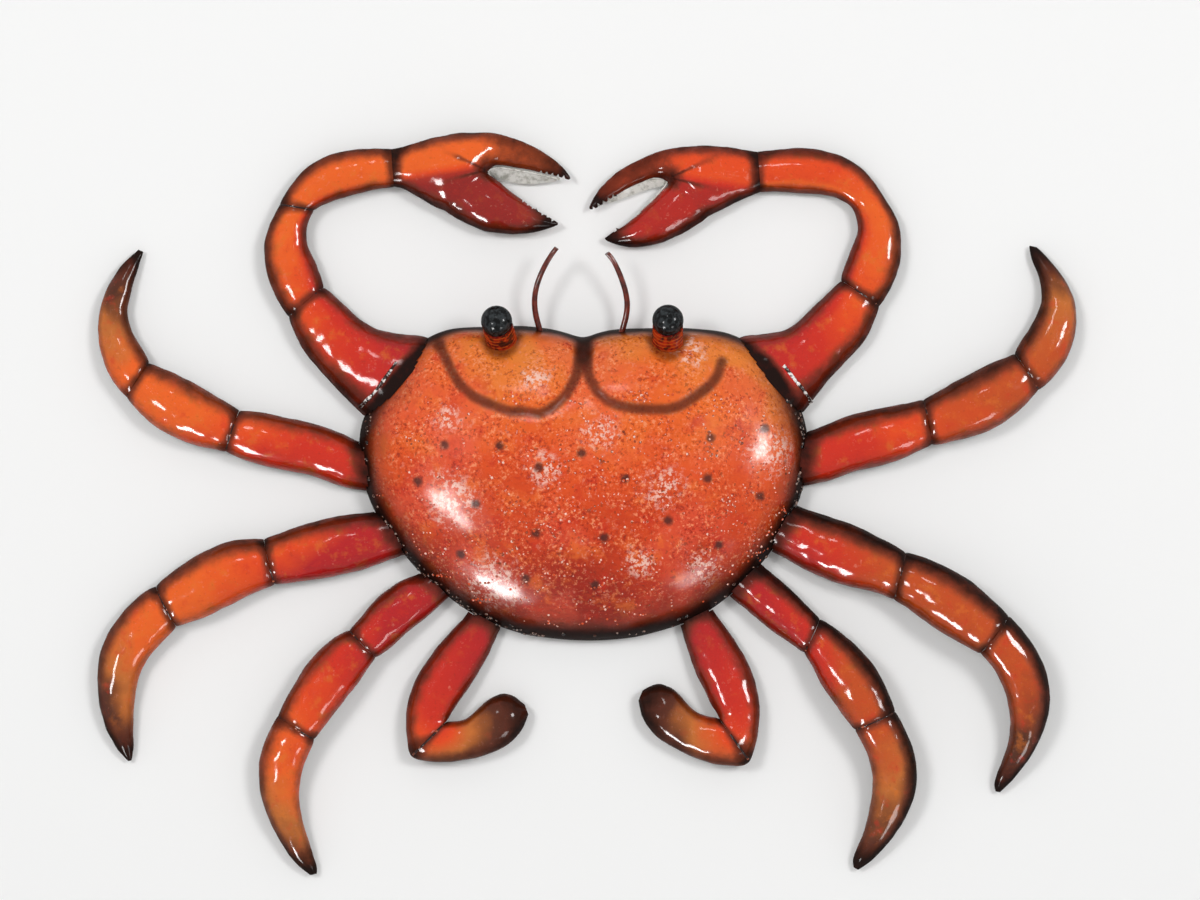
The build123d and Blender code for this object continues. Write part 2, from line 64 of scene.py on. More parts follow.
def spot(x, y, off=0.0):
    """A pixel of the photo as a point in metres, at a distance in front of the wall."""
    return Vector(((x - HOLE_PX[0]) * PX, -off, (HOLE_PX[1] - y) * PX))


print("one pixel is", round(PX / MM, 3), "mm")

# %% [markdown]
# ## The outlines of the limbs
# Each limb is a chain of tapered sheets. A row gives one section in pixels of the photo: the
# edge that starts out upper or outer, then the other edge. They repeat the places that the
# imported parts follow, so that every new sheet sits where its part is.

# %% Sections of the walking legs
LEFT_LEG_1 = (
    [
        (386, 451, 389, 497), (360, 442, 366, 491), (341, 433, 345, 487), (315, 424, 310, 475),
        (284, 417, 274, 468), (260, 412, 247, 461), (241, 410, 227, 452),
    ],
    [
        (241, 410, 227, 452), (220, 398, 200, 446), (200, 386, 178, 438.5),
        (180, 375.5, 157, 427), (163, 368.5, 140, 412), (151, 363, 128, 398),
    ],
    [
        (151, 363, 128, 398), (147, 354.5, 115, 383), (139, 341.5, 105.5, 363),
        (131, 327, 100, 343), (128.5, 312, 99, 322), (131, 296, 103, 301),
        (135, 281, 111, 282), (139, 268, 121, 267.5), (142.5, 257, 132, 255.5),
        (143.5, 252, 139, 250),
    ],
)
RIGHT_LEG_1 = (
    [
        (786, 439, 780, 491), (810, 431, 804, 486), (827, 424, 829, 481), (851, 415, 847, 474),
        (878, 408.5, 868, 468), (902, 404, 894, 462), (922, 400, 931, 445),
    ],
    [
        (922, 400, 931, 445), (936, 392, 942, 443.5), (954, 382, 964, 438.5),
        (974, 371.5, 986, 431.5), (992, 362.5, 1006, 420.5), (1004, 358, 1021, 408),
        (1013, 354, 1037, 391),
    ],
    [
        (1013, 354, 1037, 391), (1018, 344.5, 1050, 380), (1026, 332, 1062.5, 364),
        (1034, 318, 1071.5, 345), (1040, 304, 1076, 323), (1040.5, 289, 1073.5, 300),
        (1037, 275, 1066, 283), (1032.5, 263, 1056, 268), (1029, 253, 1045, 256),
        (1028.5, 246, 1036, 247),
    ],
)
LEFT_LEG_2 = (
    [
        (397, 507, 420, 551), (374, 512, 398, 556.5), (353, 514, 368, 568), (325, 519, 336, 576),
        (300, 526, 312, 580), (281, 533.5, 292, 582.5), (265, 538, 276, 584.5),
    ],
    [
        (265, 538, 276, 584.5), (250, 539, 260, 590.5), (233, 540.5, 243, 598),
        (213, 547, 225, 607.5), (195, 556.5, 208, 616), (176, 569.5, 193, 621),
        (157, 585, 178, 626.5),
    ],
    [
        (157, 585, 178, 626.5), (146, 591, 170, 635), (130, 605, 158, 647.5),
        (115, 624, 148, 660), (104, 643.5, 141, 674), (98.5, 667, 137, 690),
        (98.5, 690, 135, 707), (102, 713, 134, 723), (109, 733, 134, 737),
        (117.5, 748.5, 134, 748), (125.5, 758.5, 133.5, 756), (128.5, 761, 132, 760),
    ],
)
RIGHT_LEG_2 = (
    [
        (775, 497, 750, 541), (797, 506, 772, 551), (821, 514, 797, 565), (846, 522, 823, 577.5),
        (868, 532, 849, 586), (888, 542, 874, 591.5), (904, 551, 892, 599),
    ],
    [
        (904, 551, 892, 599), (923, 557, 907, 608), (944, 565.5, 927, 623.5),
        (964, 577.5, 946, 635.5), (982, 592, 961, 643.5), (995, 604, 970, 648.5),
        (1006, 614, 977, 652),
    ],
    [
        (1006, 614, 977, 652), (1018, 627, 988, 663), (1030, 642, 996.5, 677),
        (1039, 659, 1003, 692), (1045.5, 677.5, 1007, 708), (1048, 697, 1008.5, 723),
        (1045.5, 719, 1007, 738), (1038.5, 740, 1003.5, 753), (1028, 759, 998.5, 767),
        (1015.5, 776, 994.5, 778), (1005, 787, 993, 786), (999.5, 792, 995, 791),
    ],
)
LEFT_LEG_3 = (
    [
        (439, 559, 464, 586), (420, 573, 445, 600.5), (403, 579.5, 428, 616),
        (387.5, 590, 411, 629), (373, 602, 397, 642), (361.5, 617, 386, 651),
        (350, 629, 377, 657),
    ],
    [
        (350, 629, 377, 657), (338, 635, 369, 667), (325, 645, 361, 679), (312, 658, 352, 691),
        (301, 674.5, 342, 704), (290, 693, 330, 719), (279, 714, 316, 738),
    ],
    [
        (279, 714, 316, 738), (269.5, 732, 309.5, 753), (262.5, 751, 303.5, 769),
        (260, 770, 300.5, 785), (261, 790, 300.5, 802), (265.5, 808.5, 303, 818),
        (273, 826, 307, 833), (283, 844, 312, 848), (293, 859, 316, 861),
        (302.5, 869, 318, 868), (310.5, 874.5, 317, 873),
    ],
)
RIGHT_LEG_3 = (
    [
        (743, 548, 712, 580), (761, 564.5, 730, 596), (774, 575, 748, 611),
        (789, 587.5, 767, 627), (803, 602, 786, 640), (819, 617.5, 803, 652),
    ],
    [
        (819, 617.5, 803, 652), (835, 627.5, 811, 664), (850, 640, 817, 677),
        (865, 655, 825, 690), (877, 671.5, 834, 703), (886, 689.5, 843, 715.5),
        (894, 709.5, 853, 728),
    ],
    [
        (894, 709.5, 853, 728), (903, 727, 861, 742), (911, 745, 868, 759), (915, 763, 871, 776),
        (915.5, 782, 871, 792), (911.5, 801, 868.5, 808), (903, 820, 865, 824),
        (891.5, 838, 860, 839.5), (877, 854.5, 854.5, 852), (865.5, 865, 851.5, 861),
        (858, 869.5, 853, 867),
    ],
)
print("rows of the first leg:", [len(rows) for rows in LEFT_LEG_1])

# %% Sections of the arms, claws and swimming legs
LEFT_ARM = (
    [
        (382, 431, 449, 353), (363, 415, 428, 337.5), (347, 399, 401, 334.5),
        (329, 380.5, 379, 330), (312, 361, 361, 320), (299, 341.5, 344, 304),
        (289, 318, 325, 287.5),
    ],
    [
        (289, 318, 325, 287.5), (279, 302, 321, 275.5), (270.5, 284, 315, 260.5),
        (265.5, 264, 309, 248), (265, 245, 307, 235), (270.5, 226, 309, 222),
        (280, 205.5, 315, 211),
    ],
    [
        (280, 205.5, 315, 211), (290, 188, 322, 206), (303, 172.5, 333, 202),
        (318, 161, 345, 198), (335, 154, 356, 195), (353, 150.5, 368, 192),
        (372, 149.2, 381, 189.5), (392, 149.5, 395, 187.5),
    ],
)
RIGHT_ARM = (
    [
        (789, 425, 722, 353.5), (806, 408, 740, 337), (822, 388, 765, 334), (840, 367, 787, 329),
        (855, 352, 804, 316), (867, 337, 820, 300.5), (879, 307, 840, 281),
    ],
    [
        (879, 307, 840, 281), (889, 291.5, 843.5, 270), (896.5, 275, 848, 257),
        (900.5, 257, 853, 244), (900.5, 237, 857.5, 230), (896, 219, 855.5, 217),
        (887, 203, 850, 206.5), (876, 186, 841, 200.5), (864, 171.5, 830, 196.5),
        (848, 160, 817, 195), (830, 153, 803, 194), (811, 149, 788, 193),
        (790, 149, 775, 192), (757, 152.5, 760, 193),
    ],
)
LEFT_PALM = [
    (392, 149.5, 395, 187.5), (404, 147, 405, 190), (420, 142, 420, 199), (438, 137.5, 436, 208),
    (456, 134, 450, 212), (472, 133, 463, 206), (484, 133, 474, 192), (494, 133.5, 484, 176),
    (505, 136, 496, 166.5), (520, 141, 512, 168), (535, 147.5, 528, 171), (549, 156.5, 543, 174),
    (560, 165.5, 556, 177), (567.5, 172.5, 565, 179.5), (572, 179, 569, 181.5),
]
LEFT_FINGER = [
    (425, 163, 424, 194), (440, 165, 438, 205), (455, 166, 452, 216.5), (470, 168, 468, 225),
    (484, 172, 484, 231.5), (497, 180, 500, 234.5), (509, 190.5, 516, 235), (522, 200, 529, 234),
    (534, 208.5, 540, 231.8), (545, 215, 549, 229), (554, 220.5, 555.5, 227),
    (558.5, 223, 558.8, 226),
]
RIGHT_PALM = [
    (757, 152.5, 760, 193), (745, 150, 748, 197.5), (728, 147.5, 734, 204), (711, 146, 717, 213),
    (696, 146, 703, 218), (683, 147, 692, 212), (672, 148.5, 681, 199), (663, 150.5, 670, 184.5),
    (652, 154, 658, 178.5), (640, 159.5, 646, 181), (627, 166, 633, 186.5), (615, 174, 621, 193),
    (605, 183, 611, 199.5), (597, 193, 602, 205.5), (591, 203, 594.5, 209),
    (588.3, 209, 591, 210.8),
]
RIGHT_FINGER = [
    (716, 176, 719, 206), (702, 176, 706, 219), (689, 177, 691, 229), (677, 180, 678, 236.5),
    (666, 187.5, 663, 243), (656, 197, 649, 246.5), (645, 208, 636, 248), (634, 218.5, 624, 247),
    (622, 227, 615, 245), (611, 233, 608.5, 243), (604, 238, 604.5, 241.5),
]
LEFT_PADDLE = (
    [
        (480, 590, 511, 608), (467, 614, 499, 631), (454, 628, 491, 649), (440, 644, 482, 666),
        (427.5, 660, 472, 682), (417, 676.5, 463, 696), (410, 694.5, 455, 708),
        (406.5, 714, 450, 716), (406.5, 735, 448.5, 719), (411, 756, 447.5, 720),
    ],
    [
        (411, 756, 447.5, 720), (421, 760, 453, 720), (436, 761.3, 460, 719.5),
        (452, 761, 468, 718), (468, 758.5, 475, 711), (484, 755, 482, 704),
        (500, 749, 490.5, 697), (513, 740.5, 502, 692.5), (522, 731, 512.5, 694),
        (527, 721, 520, 698.5), (528.5, 713.5, 525, 704),
    ],
)
RIGHT_PADDLE = (
    [
        (702, 589, 672, 603), (712, 609, 680, 625), (724, 625, 685, 642), (736.5, 643, 691, 660),
        (746.5, 661, 698, 677.5), (754, 679, 705, 692), (758.5, 697, 711, 704),
        (759.5, 715, 716, 712), (757.5, 736, 717.5, 715), (750, 761.5, 718.5, 717),
    ],
    [
        (750, 761.5, 718.5, 717), (741, 765.5, 714, 716), (728, 765.3, 709, 715.5),
        (713, 762.8, 703, 714), (698, 758.5, 697, 712), (684, 752.5, 690, 707),
        (671, 745.5, 684, 700), (659, 738, 677, 691), (648.5, 728, 668, 685),
        (641.5, 717, 657, 682.5), (638.3, 707, 648, 685), (638.3, 700, 642.5, 690),
    ],
)
print("rows of the two palms:", len(LEFT_PALM), len(RIGHT_PALM))

# %% [markdown]
# ## From rows to ribs
# A rib is one section of a sheet: its two back edges and how high it arches off them. Ribs
# are spaced evenly along the limb, on a smooth curve through the rows, and near a joint they
# draw in, which gives the groove where two sheets meet.

# %% Even ribs through the rows
RIB_STEP = 5 * MM
JOINT_RUN = 3.4 * MM
JOINT_WIDTH = 0.96
JOINT_CROWN = 0.36
SHOULDER = 0.35
END_RIBS = {"point": ((0.45, 0.82), (0.8, 0.36)), "round": ((0.3, 0.72), (0.42, 0.3))}


def midway(row):
    """The pixel midway between a row's two edges."""
    return (row[0] + row[2]) / 2, (row[1] + row[3]) / 2


def distances(points):
    """How far along a chain of points each one is."""
    places = [0.0]
    for last, following in zip(points, points[1:]):
        places.append(places[-1] + (following - last).length)
    return places


def smooth_value(values, places, place):
    """The value at a place, on a smooth curve through values that stand at places."""
    index = 0
    while index < len(places) - 2 and places[index + 1] <= place:
        index += 1
    run = places[index + 1] - places[index]
    share = (place - places[index]) / run

    def slope(near):
        low, high = max(near - 1, 0), min(near + 1, len(places) - 1)
        return (values[high] - values[low]) * (run / (places[high] - places[low]))

    step = values[index + 1] - values[index]
    eased = share * share * (3 - 2 * share)
    leaving = slope(index) * (share * (1 - share) ** 2)
    arriving = slope(index + 1) * (share**2 * (1 - share))
    return values[index] + step * eased + leaving - arriving


def ribs_through(rows, offs, crowns, joints=(True, True), grooves=(1, 1), end="joint"):
    """Ribs as (edge, other edge, crown height, run along the piece, distance to a joint)."""
    places = distances([spot(*midway(row)) for row in rows])
    length = places[-1]
    offs_here = [offs[0] + (offs[1] - offs[0]) * place / length for place in places]
    firsts = [spot(row[0], row[1], off) for row, off in zip(rows, offs_here)]
    seconds = [spot(row[2], row[3], off) for row, off in zip(rows, offs_here)]

    def rib(place, pinch):
        first = smooth_value(firsts, places, place)
        second = smooth_value(seconds, places, place)
        across = second - first
        share = crowns[0] + (crowns[1] - crowns[0]) * place / length
        groove = pinch * grooves[place > length / 2]
        share += (JOINT_CROWN - share) * groove
        inset = across * ((1 - JOINT_WIDTH) / 2 * groove)
        seam = min(
            place if joints[0] else length,
            length - place if joints[1] else length,
        )
        return (first + inset, second - inset, across.length * share, place, seam)

    start = JOINT_RUN if joints[0] else 0
    end = length - JOINT_RUN if joints[1] else length
    count = math.ceil((end - start) / RIB_STEP)
    ribs = [rib(start + (end - start) * index / count, 0) for index in range(count + 1)]
    shoulder = JOINT_RUN * SHOULDER
    if joints[0]:
        ribs = [rib(0, 1), rib(shoulder, SHOULDER)] + ribs
    if joints[1]:
        ribs += [rib(length - shoulder, SHOULDER), rib(length, 1)]
    if end in END_RIBS:
        first, second, crown, run, seam = ribs[-1]
        middle, last = (first + second) / 2, (ribs[-2][0] + ribs[-2][1]) / 2
        ahead = (middle - last).normalized() * (second - first).length / 2
        for reach, left in END_RIBS[end]:
            narrow = [middle + (edge - middle) * left + ahead * reach for edge in (first, second)]
            ribs.append((*narrow, crown * left, run, seam))
    return ribs


FIRST_RIBS = ribs_through(LEFT_LEG_1[0], (3 * MM, 8 * MM), (0.42, 0.42))
print("ribs in the first leg sheet:", len(FIRST_RIBS))

# %% [markdown]
# ## Raising a sheet
# A rib is a ring from the circle tool, squashed to the rib's width and height and cut back
# to its front half. Neighbours are joined with the bridge tool, as a boat is skinned over
# its frames. Each rib's place is stored in attributes, so that the paint can follow the
# sheet: how far along, how far across, and how near to a joint.

# %% Tools for ribs and skins
SPOKES = 24
MARKS = ("across", "run", "seam", "half")
BACK_SHARE = 0.01
FORM_BEHIND = 2 * MM


def clear_selection():
    if bpy.context.object and bpy.context.object.mode != "OBJECT":
        bpy.ops.object.mode_set(mode="OBJECT")
    bpy.ops.object.select_all(action="DESELECT")


def new_piece(name):
    """An empty mesh object at the origin, ready for edit mode."""
    clear_selection()
    bpy.ops.object.add(type="MESH", location=(0, 0, 0))
    piece = bpy.context.object
    piece.name = piece.data.name = name
    return piece


def make_active(piece):
    clear_selection()
    piece.select_set(True)
    bpy.context.view_layer.objects.active = piece


def apply_modifier(piece, kind, **settings):
    """Adds a modifier, sets it and applies it."""
    make_active(piece)
    modifier = piece.modifiers.new(kind.title(), kind)
    for key, value in settings.items():
        setattr(modifier, key, value)
    bpy.ops.object.modifier_apply(modifier=modifier.name)


def select_rows(piece, rows, per_row):
    """In edit mode, selects only the edges of these rows of vertices."""
    mesh = bmesh.from_edit_mesh(piece.data)
    for part in (mesh.verts, mesh.edges, mesh.faces):
        for item in part:
            item.select = False
    mesh.verts.index_update()
    for edge in mesh.edges:
        rows_here = {vert.index // per_row for vert in edge.verts}
        if len(rows_here) == 1 and rows_here.pop() in rows:
            edge.select = True
    bmesh.update_edit_mesh(piece.data)


def face_the_room():
    """In edit mode, turns the faces round if they look to the wall."""
    bpy.ops.mesh.select_all(action="SELECT")
    mesh = bmesh.from_edit_mesh(bpy.context.object.data)
    if sum(face.normal.y * face.calc_area() for face in mesh.faces) > 0:
        bpy.ops.mesh.flip_normals()


def raise_sheet(name, ribs, closed=False):
    """An arched sheet skinned over ribs, or with closed a filled form flat behind the edges."""
    piece = new_piece(name)
    bpy.ops.object.mode_set(mode="EDIT")
    for _ in ribs:
        bpy.ops.mesh.primitive_circle_add(vertices=SPOKES, radius=1)
    mesh = bmesh.from_edit_mesh(piece.data)
    mesh.verts.ensure_lookup_table()
    for mark in MARKS:
        mesh.verts.layers.float.new(mark)
    layers = [mesh.verts.layers.float[mark] for mark in MARKS]
    mesh.verts.ensure_lookup_table()
    mesh.verts.index_update()
    for vert in mesh.verts:
        first, second, crown, run, seam = ribs[vert.index // SPOKES]
        from_middle = (second - first) / 2 * vert.co.x + FRONT * crown * vert.co.y
        vert.co = (first + second) / 2 + from_middle
        width = (second - first).length
        across = from_middle.dot(second - first) / width / width * 2
        for layer, value in zip(layers, (across, run, seam, width / 2)):
            vert[layer] = value
        back = from_middle.dot(FRONT) < -BACK_SHARE * crown
        vert.select = back and not closed
        if back and closed:
            vert.co -= FRONT * (from_middle.dot(FRONT) + FORM_BEHIND)
    mesh.select_flush_mode()
    bmesh.update_edit_mesh(piece.data)
    per_row = SPOKES
    if not closed:
        bpy.ops.mesh.delete(type="VERT")
        per_row = SPOKES // 2 + 1
    for index in range(len(ribs) - 1):
        select_rows(piece, (index, index + 1), per_row)
        bpy.ops.mesh.bridge_edge_loops()
    if closed:
        for index in (0, len(ribs) - 1):
            select_rows(piece, (index,), per_row)
            bpy.ops.mesh.edge_face_add()
        bpy.ops.mesh.select_all(action="SELECT")
        bpy.ops.mesh.normals_make_consistent(inside=False)
    else:
        face_the_room()
    bpy.ops.object.mode_set(mode="OBJECT")
    return piece


print("vertices in an open rib:", SPOKES // 2 + 1)

# %% [markdown]
# ## The dish of the carapace
# The real shell is one disc of sheet, dished over a former and then creased round the eyes.
# Its contours are rings: the rim follows the drawn outline, and nearer the top each ring
# comes closer to an ellipse. They are bridged like the ribs, so no ring of faces is stretched.

# %% Outline and contours of the shell
SHELL_CENTRE = (584, 484)
SHELL_HALF = (226, 157)
SHELL_OUTLINE = [
    (584, 338), (600, 332), (622, 329), (655, 328), (690, 328.5), (718, 330.5), (745, 340),
    (770, 357), (787, 379), (799, 405), (807, 430), (809, 458), (803, 488), (790, 521),
    (770, 553), (745, 582), (712, 609), (678, 625), (640, 635.5), (600, 640), (560, 639),
    (520, 633), (485, 620), (451, 599), (420, 572), (395, 542), (374, 510), (362, 475),
    (359, 442), (364, 417), (378, 390), (398, 364), (420, 343), (447, 329.5), (480, 327),
    (515, 326), (548, 328.5), (570, 333.5),
]
DOME = 44 * MM
DOME_POWERS = (2.5, 2.2)
AROUND = 112
CONTOURS = 22
LAST_CONTOUR = 88


def even_outline(count):
    """Points evenly spaced on a smooth curve through the outline, from the notch clockwise."""
    wrapped = [Vector(point) for point in SHELL_OUTLINE[-2:] + SHELL_OUTLINE + SHELL_OUTLINE[:3]]
    places = distances(wrapped)
    start, end = places[2], places[2 + len(SHELL_OUTLINE)]
    return [smooth_value(wrapped, places, start + (end - start) * index / count) for index in range(count)]


def contour_point(point, share):
    """Where the shell's rim point goes on the contour at a share of its reach, in pixels."""
    dx, dy = point.x - SHELL_CENTRE[0], point.y - SHELL_CENTRE[1]
    angle = math.atan2(dy / SHELL_HALF[1], dx / SHELL_HALF[0])
    round_x, round_y = SHELL_HALF[0] * math.cos(angle), SHELL_HALF[1] * math.sin(angle)
    flat_x = round_x + (dx - round_x) * share
    flat_y = round_y + (dy - round_y) * share
    return SHELL_CENTRE[0] + flat_x * share, SHELL_CENTRE[1] + flat_y * share


def dome_height(share):
    """How high the dish stands at a share of its reach."""
    return DOME * (1 - share ** DOME_POWERS[0]) ** (1 / DOME_POWERS[1])


rim = even_outline(AROUND)
shares = [math.cos(math.radians(LAST_CONTOUR * index / CONTOURS)) for index in range(CONTOURS + 1)]
contours = [[spot(*contour_point(point, share), dome_height(share)) for point in rim] for share in shares]
print("contours:", len(contours), "of", AROUND, "points")

# %% Bridge the contours into the dish
shell = new_piece("carapace_shell")
bpy.ops.object.mode_set(mode="EDIT")
for _ in contours:
    bpy.ops.mesh.primitive_circle_add(vertices=AROUND, radius=DOME)
cage = bmesh.from_edit_mesh(shell.data)
cage.verts.layers.float.new("rim")
rim_mark = cage.verts.layers.float["rim"]
cage.verts.index_update()
for vert in cage.verts:
    row, column = divmod(vert.index, AROUND)
    vert.co = contours[row][column]
    inward = contours[row][column] - contours[0][column]
    vert[rim_mark] = math.hypot(inward.x, inward.z)
bmesh.update_edit_mesh(shell.data)
for index in range(CONTOURS):
    select_rows(shell, (index, index + 1), AROUND)
    bpy.ops.mesh.bridge_edge_loops()
select_rows(shell, (CONTOURS,), AROUND)
bpy.ops.mesh.edge_face_add()
bpy.ops.mesh.select_all(action="SELECT")
bpy.ops.mesh.normals_make_consistent(inside=False)
face_the_room()
bpy.ops.object.mode_set(mode="OBJECT")
apply_modifier(shell, "SUBSURF", levels=2, render_levels=2)
print("dish:", len(shell.data.polygons), "faces")

# %% [markdown]
# ## Creased brows
# A crease was pressed round each eye and then airbrushed. It is one soft furrow, so each
# vertex is moved by its distance from the drawn line instead of cutting edges into the dish.

# %% Furrows and lobes
BROWS = (
    [
        (440, 345), (447, 360), (455, 375), (463, 387), (475, 397), (488, 403), (500, 408),
        (512, 412), (525, 412), (540, 414), (550, 410), (560, 402), (567, 395), (573, 385),
        (577, 375), (580, 360), (583, 345),
    ],
    [
        (585, 345), (587, 365), (590, 380), (597, 392), (607, 401), (620, 406), (635, 409),
        (650, 410), (665, 410), (680, 406), (690, 400), (700, 393), (710, 385), (717, 375),
        (721, 362),
    ],
)
LOBES = ((511, 343, 72, 70), (653, 343, 69, 67))
FURROW_DEPTH = 0.7 * MM
FURROW_WIDTH = 3.6 * MM
LOBE_RISE = 0.9 * MM
LOBE_SLOPE = (0.55, 1.02)
FLAT_RIM = 6 * MM
BROWS_END = 450
FAR_FROM_BROW = 40.0


def pixel_of(point):
    """The photo's pixel that a point in metres shows at."""
    return point.x / PX + HOLE_PX[0], HOLE_PX[1] - point.z / PX


def line_distance(x, y, path):
    """Pixels from a point to the nearest place on a drawn line."""
    here = Vector((x, y))
    nearest = 1e9
    for start, end in zip(path, path[1:]):
        start, end = Vector(start), Vector(end)
        way = end - start
        share = min(max((here - start).dot(way) / way.length_squared, 0), 1)
        nearest = min(nearest, (here - start - way * share).length)
    return nearest


def ease(low, high, value):
    """0 below low, 1 above high and smooth between."""
    share = min(max((value - low) / (high - low), 0), 1)
    return share * share * (3 - 2 * share)


def get_marks(piece, name):
    values = [0.0] * len(piece.data.vertices)
    piece.data.attributes[name].data.foreach_get("value", values)
    return values


def set_marks(piece, name, values):
    layer = piece.data.attributes.get(name) or piece.data.attributes.new(name, "FLOAT", "POINT")
    layer.data.foreach_set("value", values)


def press(piece, depths):
    """Moves each vertex of a sheet out along its normal."""
    moved = [vert.co + vert.normal * depth for vert, depth in zip(piece.data.vertices, depths)]
    for vert, place in zip(piece.data.vertices, moved):
        vert.co = place
    piece.data.update()


brow_marks, depths = [], []
for vert, from_rim in zip(shell.data.vertices, get_marks(shell, "rim")):
    x, y = pixel_of(vert.co)
    nearest, inside = FAR_FROM_BROW, 0.0
    if y < BROWS_END:
        nearest = min(line_distance(x, y, path) for path in BROWS)
        for middle_x, middle_y, half_x, half_y in LOBES:
            reach = math.hypot((x - middle_x) / half_x, (y - middle_y) / half_y)
            inside = max(inside, 1 - ease(*LOBE_SLOPE, reach))
    furrow = math.exp(-((nearest * PX / FURROW_WIDTH) ** 2))
    depths.append((LOBE_RISE * inside - FURROW_DEPTH * furrow) * ease(0, FLAT_RIM, from_rim))
    brow_marks.append(nearest * PX)
press(shell, depths)
set_marks(shell, "brow", brow_marks)
print("furrow", round(min(depths) / MM, 2), "mm deep, lobes", round(max(depths) / MM, 2), "mm high")

# %% [markdown]
# ## Hammer marks
# Sheet that was formed by hand is never quite even, and under gloss paint that shows as
# broken highlights. A soft cloud texture moves each surface by a few tenths of a millimetre.

# %% Uneven sheet
def cloud(name, size):
    texture = bpy.data.textures.new(name, "CLOUDS")
    texture.noise_scale = size
    texture.noise_depth = 1
    return texture


HAMMER_MARKS = cloud("hammer_marks", 9 * MM)
DISH_MARKS = cloud("dish_marks", 22 * MM)


def hammer(piece, strength, texture=HAMMER_MARKS):
    """Moves a sheet in and out by a cloud texture."""
    apply_modifier(
        piece, "DISPLACE", texture=texture, texture_coords="LOCAL", strength=strength, mid_level=0.5,
    )


hammer(shell, 0.9 * MM, DISH_MARKS)
dome = BVHTree.FromPolygons(
    [vert.co for vert in shell.data.vertices], [face.vertices for face in shell.data.polygons]
)
print("cloud sizes:", round(HAMMER_MARKS.noise_scale / MM), "and", round(DISH_MARKS.noise_scale / MM), "mm")

# %% [markdown]
# ## Enamel
# The crab was airbrushed: orange over red, then soft black along edges, joints and tips, and a clear gloss
# on top. The black along the edges is partly that paint and partly painted shade, where the sheets curve
# back toward the wall. The colour runs along each limb by an attribute, the black comes from a second one,
# and noise breaks both up, as sprayed paint does over uneven metal.

# %% Paint colours and node helpers
def paint(red, green, blue):
    """A colour as it looks, from 0 to 255, for a shader that counts in linear light."""
    shares = [value / 255 for value in (red, green, blue)]
    linear = [v / 12.92 if v <= 0.04045 else ((v + 0.055) / 1.055) ** 2.4 for v in shares]
    return (*linear, 1)


BLACK = paint(26, 19, 17)
BROWN = paint(92, 44, 20)
CRIMSON = paint(184, 28, 30)
RED = paint(208, 44, 22)
RED_ORANGE = paint(228, 72, 20)
ORANGE = paint(236, 98, 28)
AMBER = paint(226, 120, 36)
TAN = paint(196, 108, 44)
RUSSET = paint(196, 76, 24)
PALE_PINK = paint(240, 160, 132)
UNDERSIDE = paint(58, 54, 52)
BURNT = paint(88, 34, 14)


def add_node(tree, kind, inputs=None, **settings):
    """A shader node with its settings, and with values or links on its inputs."""
    made = tree.nodes.new("ShaderNode" + kind)
    for key, value in settings.items():
        setattr(made, key, value)
    for key, value in (inputs or {}).items():
        if isinstance(value, bpy.types.NodeSocket):
            tree.links.new(value, made.inputs[key])
        else:
            made.inputs[key].default_value = value
    return made


def blend_colours(tree, share, first, second):
    mixed = add_node(tree, "Mix", {0: share, 6: first, 7: second}, data_type="RGBA")
    return mixed.outputs[2]


def maths(tree, operation, first, second=0.0):
    return add_node(tree, "Math", {0: first, 1: second}, operation=operation, use_clamp=False).outputs[0]


def swing(tree, value, amount):
    """Noise from 0 to 1 as a change of up to half the amount, up or down."""
    return maths(tree, "MULTIPLY", maths(tree, "SUBTRACT", value, 0.5), amount)


def spread(tree, value, low, high, start=0.0, end=1.0):
    """Smoothly maps low to start and high to end."""
    inputs = {0: value, 1: low, 2: high, 3: start, 4: end}
    return add_node(tree, "MapRange", inputs, interpolation_type="SMOOTHSTEP").outputs[0]


def speckle(tree, place, per_metre, detail=2.0, rough=0.5):
    inputs = {"Vector": place, "Scale": per_metre, "Detail": detail, "Roughness": rough}
    return add_node(tree, "TexNoise", inputs).outputs[0]


def attribute(tree, name):
    return add_node(tree, "Attribute", attribute_name=name).outputs["Fac"]


def new_paint(name, seed):
    """A material with its shader and Object coordinates that start at a place of their own."""
    material = bpy.data.materials.new(name)
    material.use_nodes = True
    tree = material.node_tree
    place = add_node(tree, "TexCoord").outputs["Object"]
    shifted = add_node(tree, "VectorMath", {0: place, 1: (seed * 0.37, seed * 0.61, seed * 0.83)})
    return material, tree, tree.nodes["Principled BSDF"], shifted.outputs[0]


def colour_run(tree, value, stops):
    """A colour ramp from (share, colour) stops."""
    ramp = add_node(tree, "ValToRGB", {0: value})
    elements = ramp.color_ramp.elements
    while len(elements) < len(stops):
        elements.new(1)
    for element, (share, tint) in zip(elements, stops):
        element.position = share
        element.color = tint
    return ramp.outputs[0]


print("crimson in linear light:", [round(value, 3) for value in CRIMSON[:3]])

# %% The gloss coat and its unevenness
def gloss(tree, shader, place, tint, bump=0.9 * MM, dark=None, coat_rough=0.11):
    """Finishes a paint: its colour, a clear coat and the orange-peel of sprayed enamel."""
    if dark is not None:
        tree.links.new(spread(tree, dark, 0.3, 0.95, 0.5, 0.1), shader.inputs["Coat Weight"])
    fine = speckle(tree, place, 700, 3)
    peel = speckle(tree, place, 210, 3, 0.6)
    height = maths(tree, "ADD", maths(tree, "MULTIPLY", peel, 0.7), maths(tree, "MULTIPLY", fine, 0.3))
    relief = add_node(tree, "Bump", {"Strength": 1.0, "Distance": bump, "Height": height})
    tree.links.new(tint, shader.inputs["Base Color"])
    tree.links.new(spread(tree, fine, 0.3, 0.75, 0.2, 0.42), shader.inputs["Roughness"])
    tree.links.new(relief.outputs[0], shader.inputs["Normal"])
    shader.inputs["Specular IOR Level"].default_value = 0.0
    shader.inputs["Coat Weight"].default_value = 0.5
    shader.inputs["Coat Roughness"].default_value = coat_rough


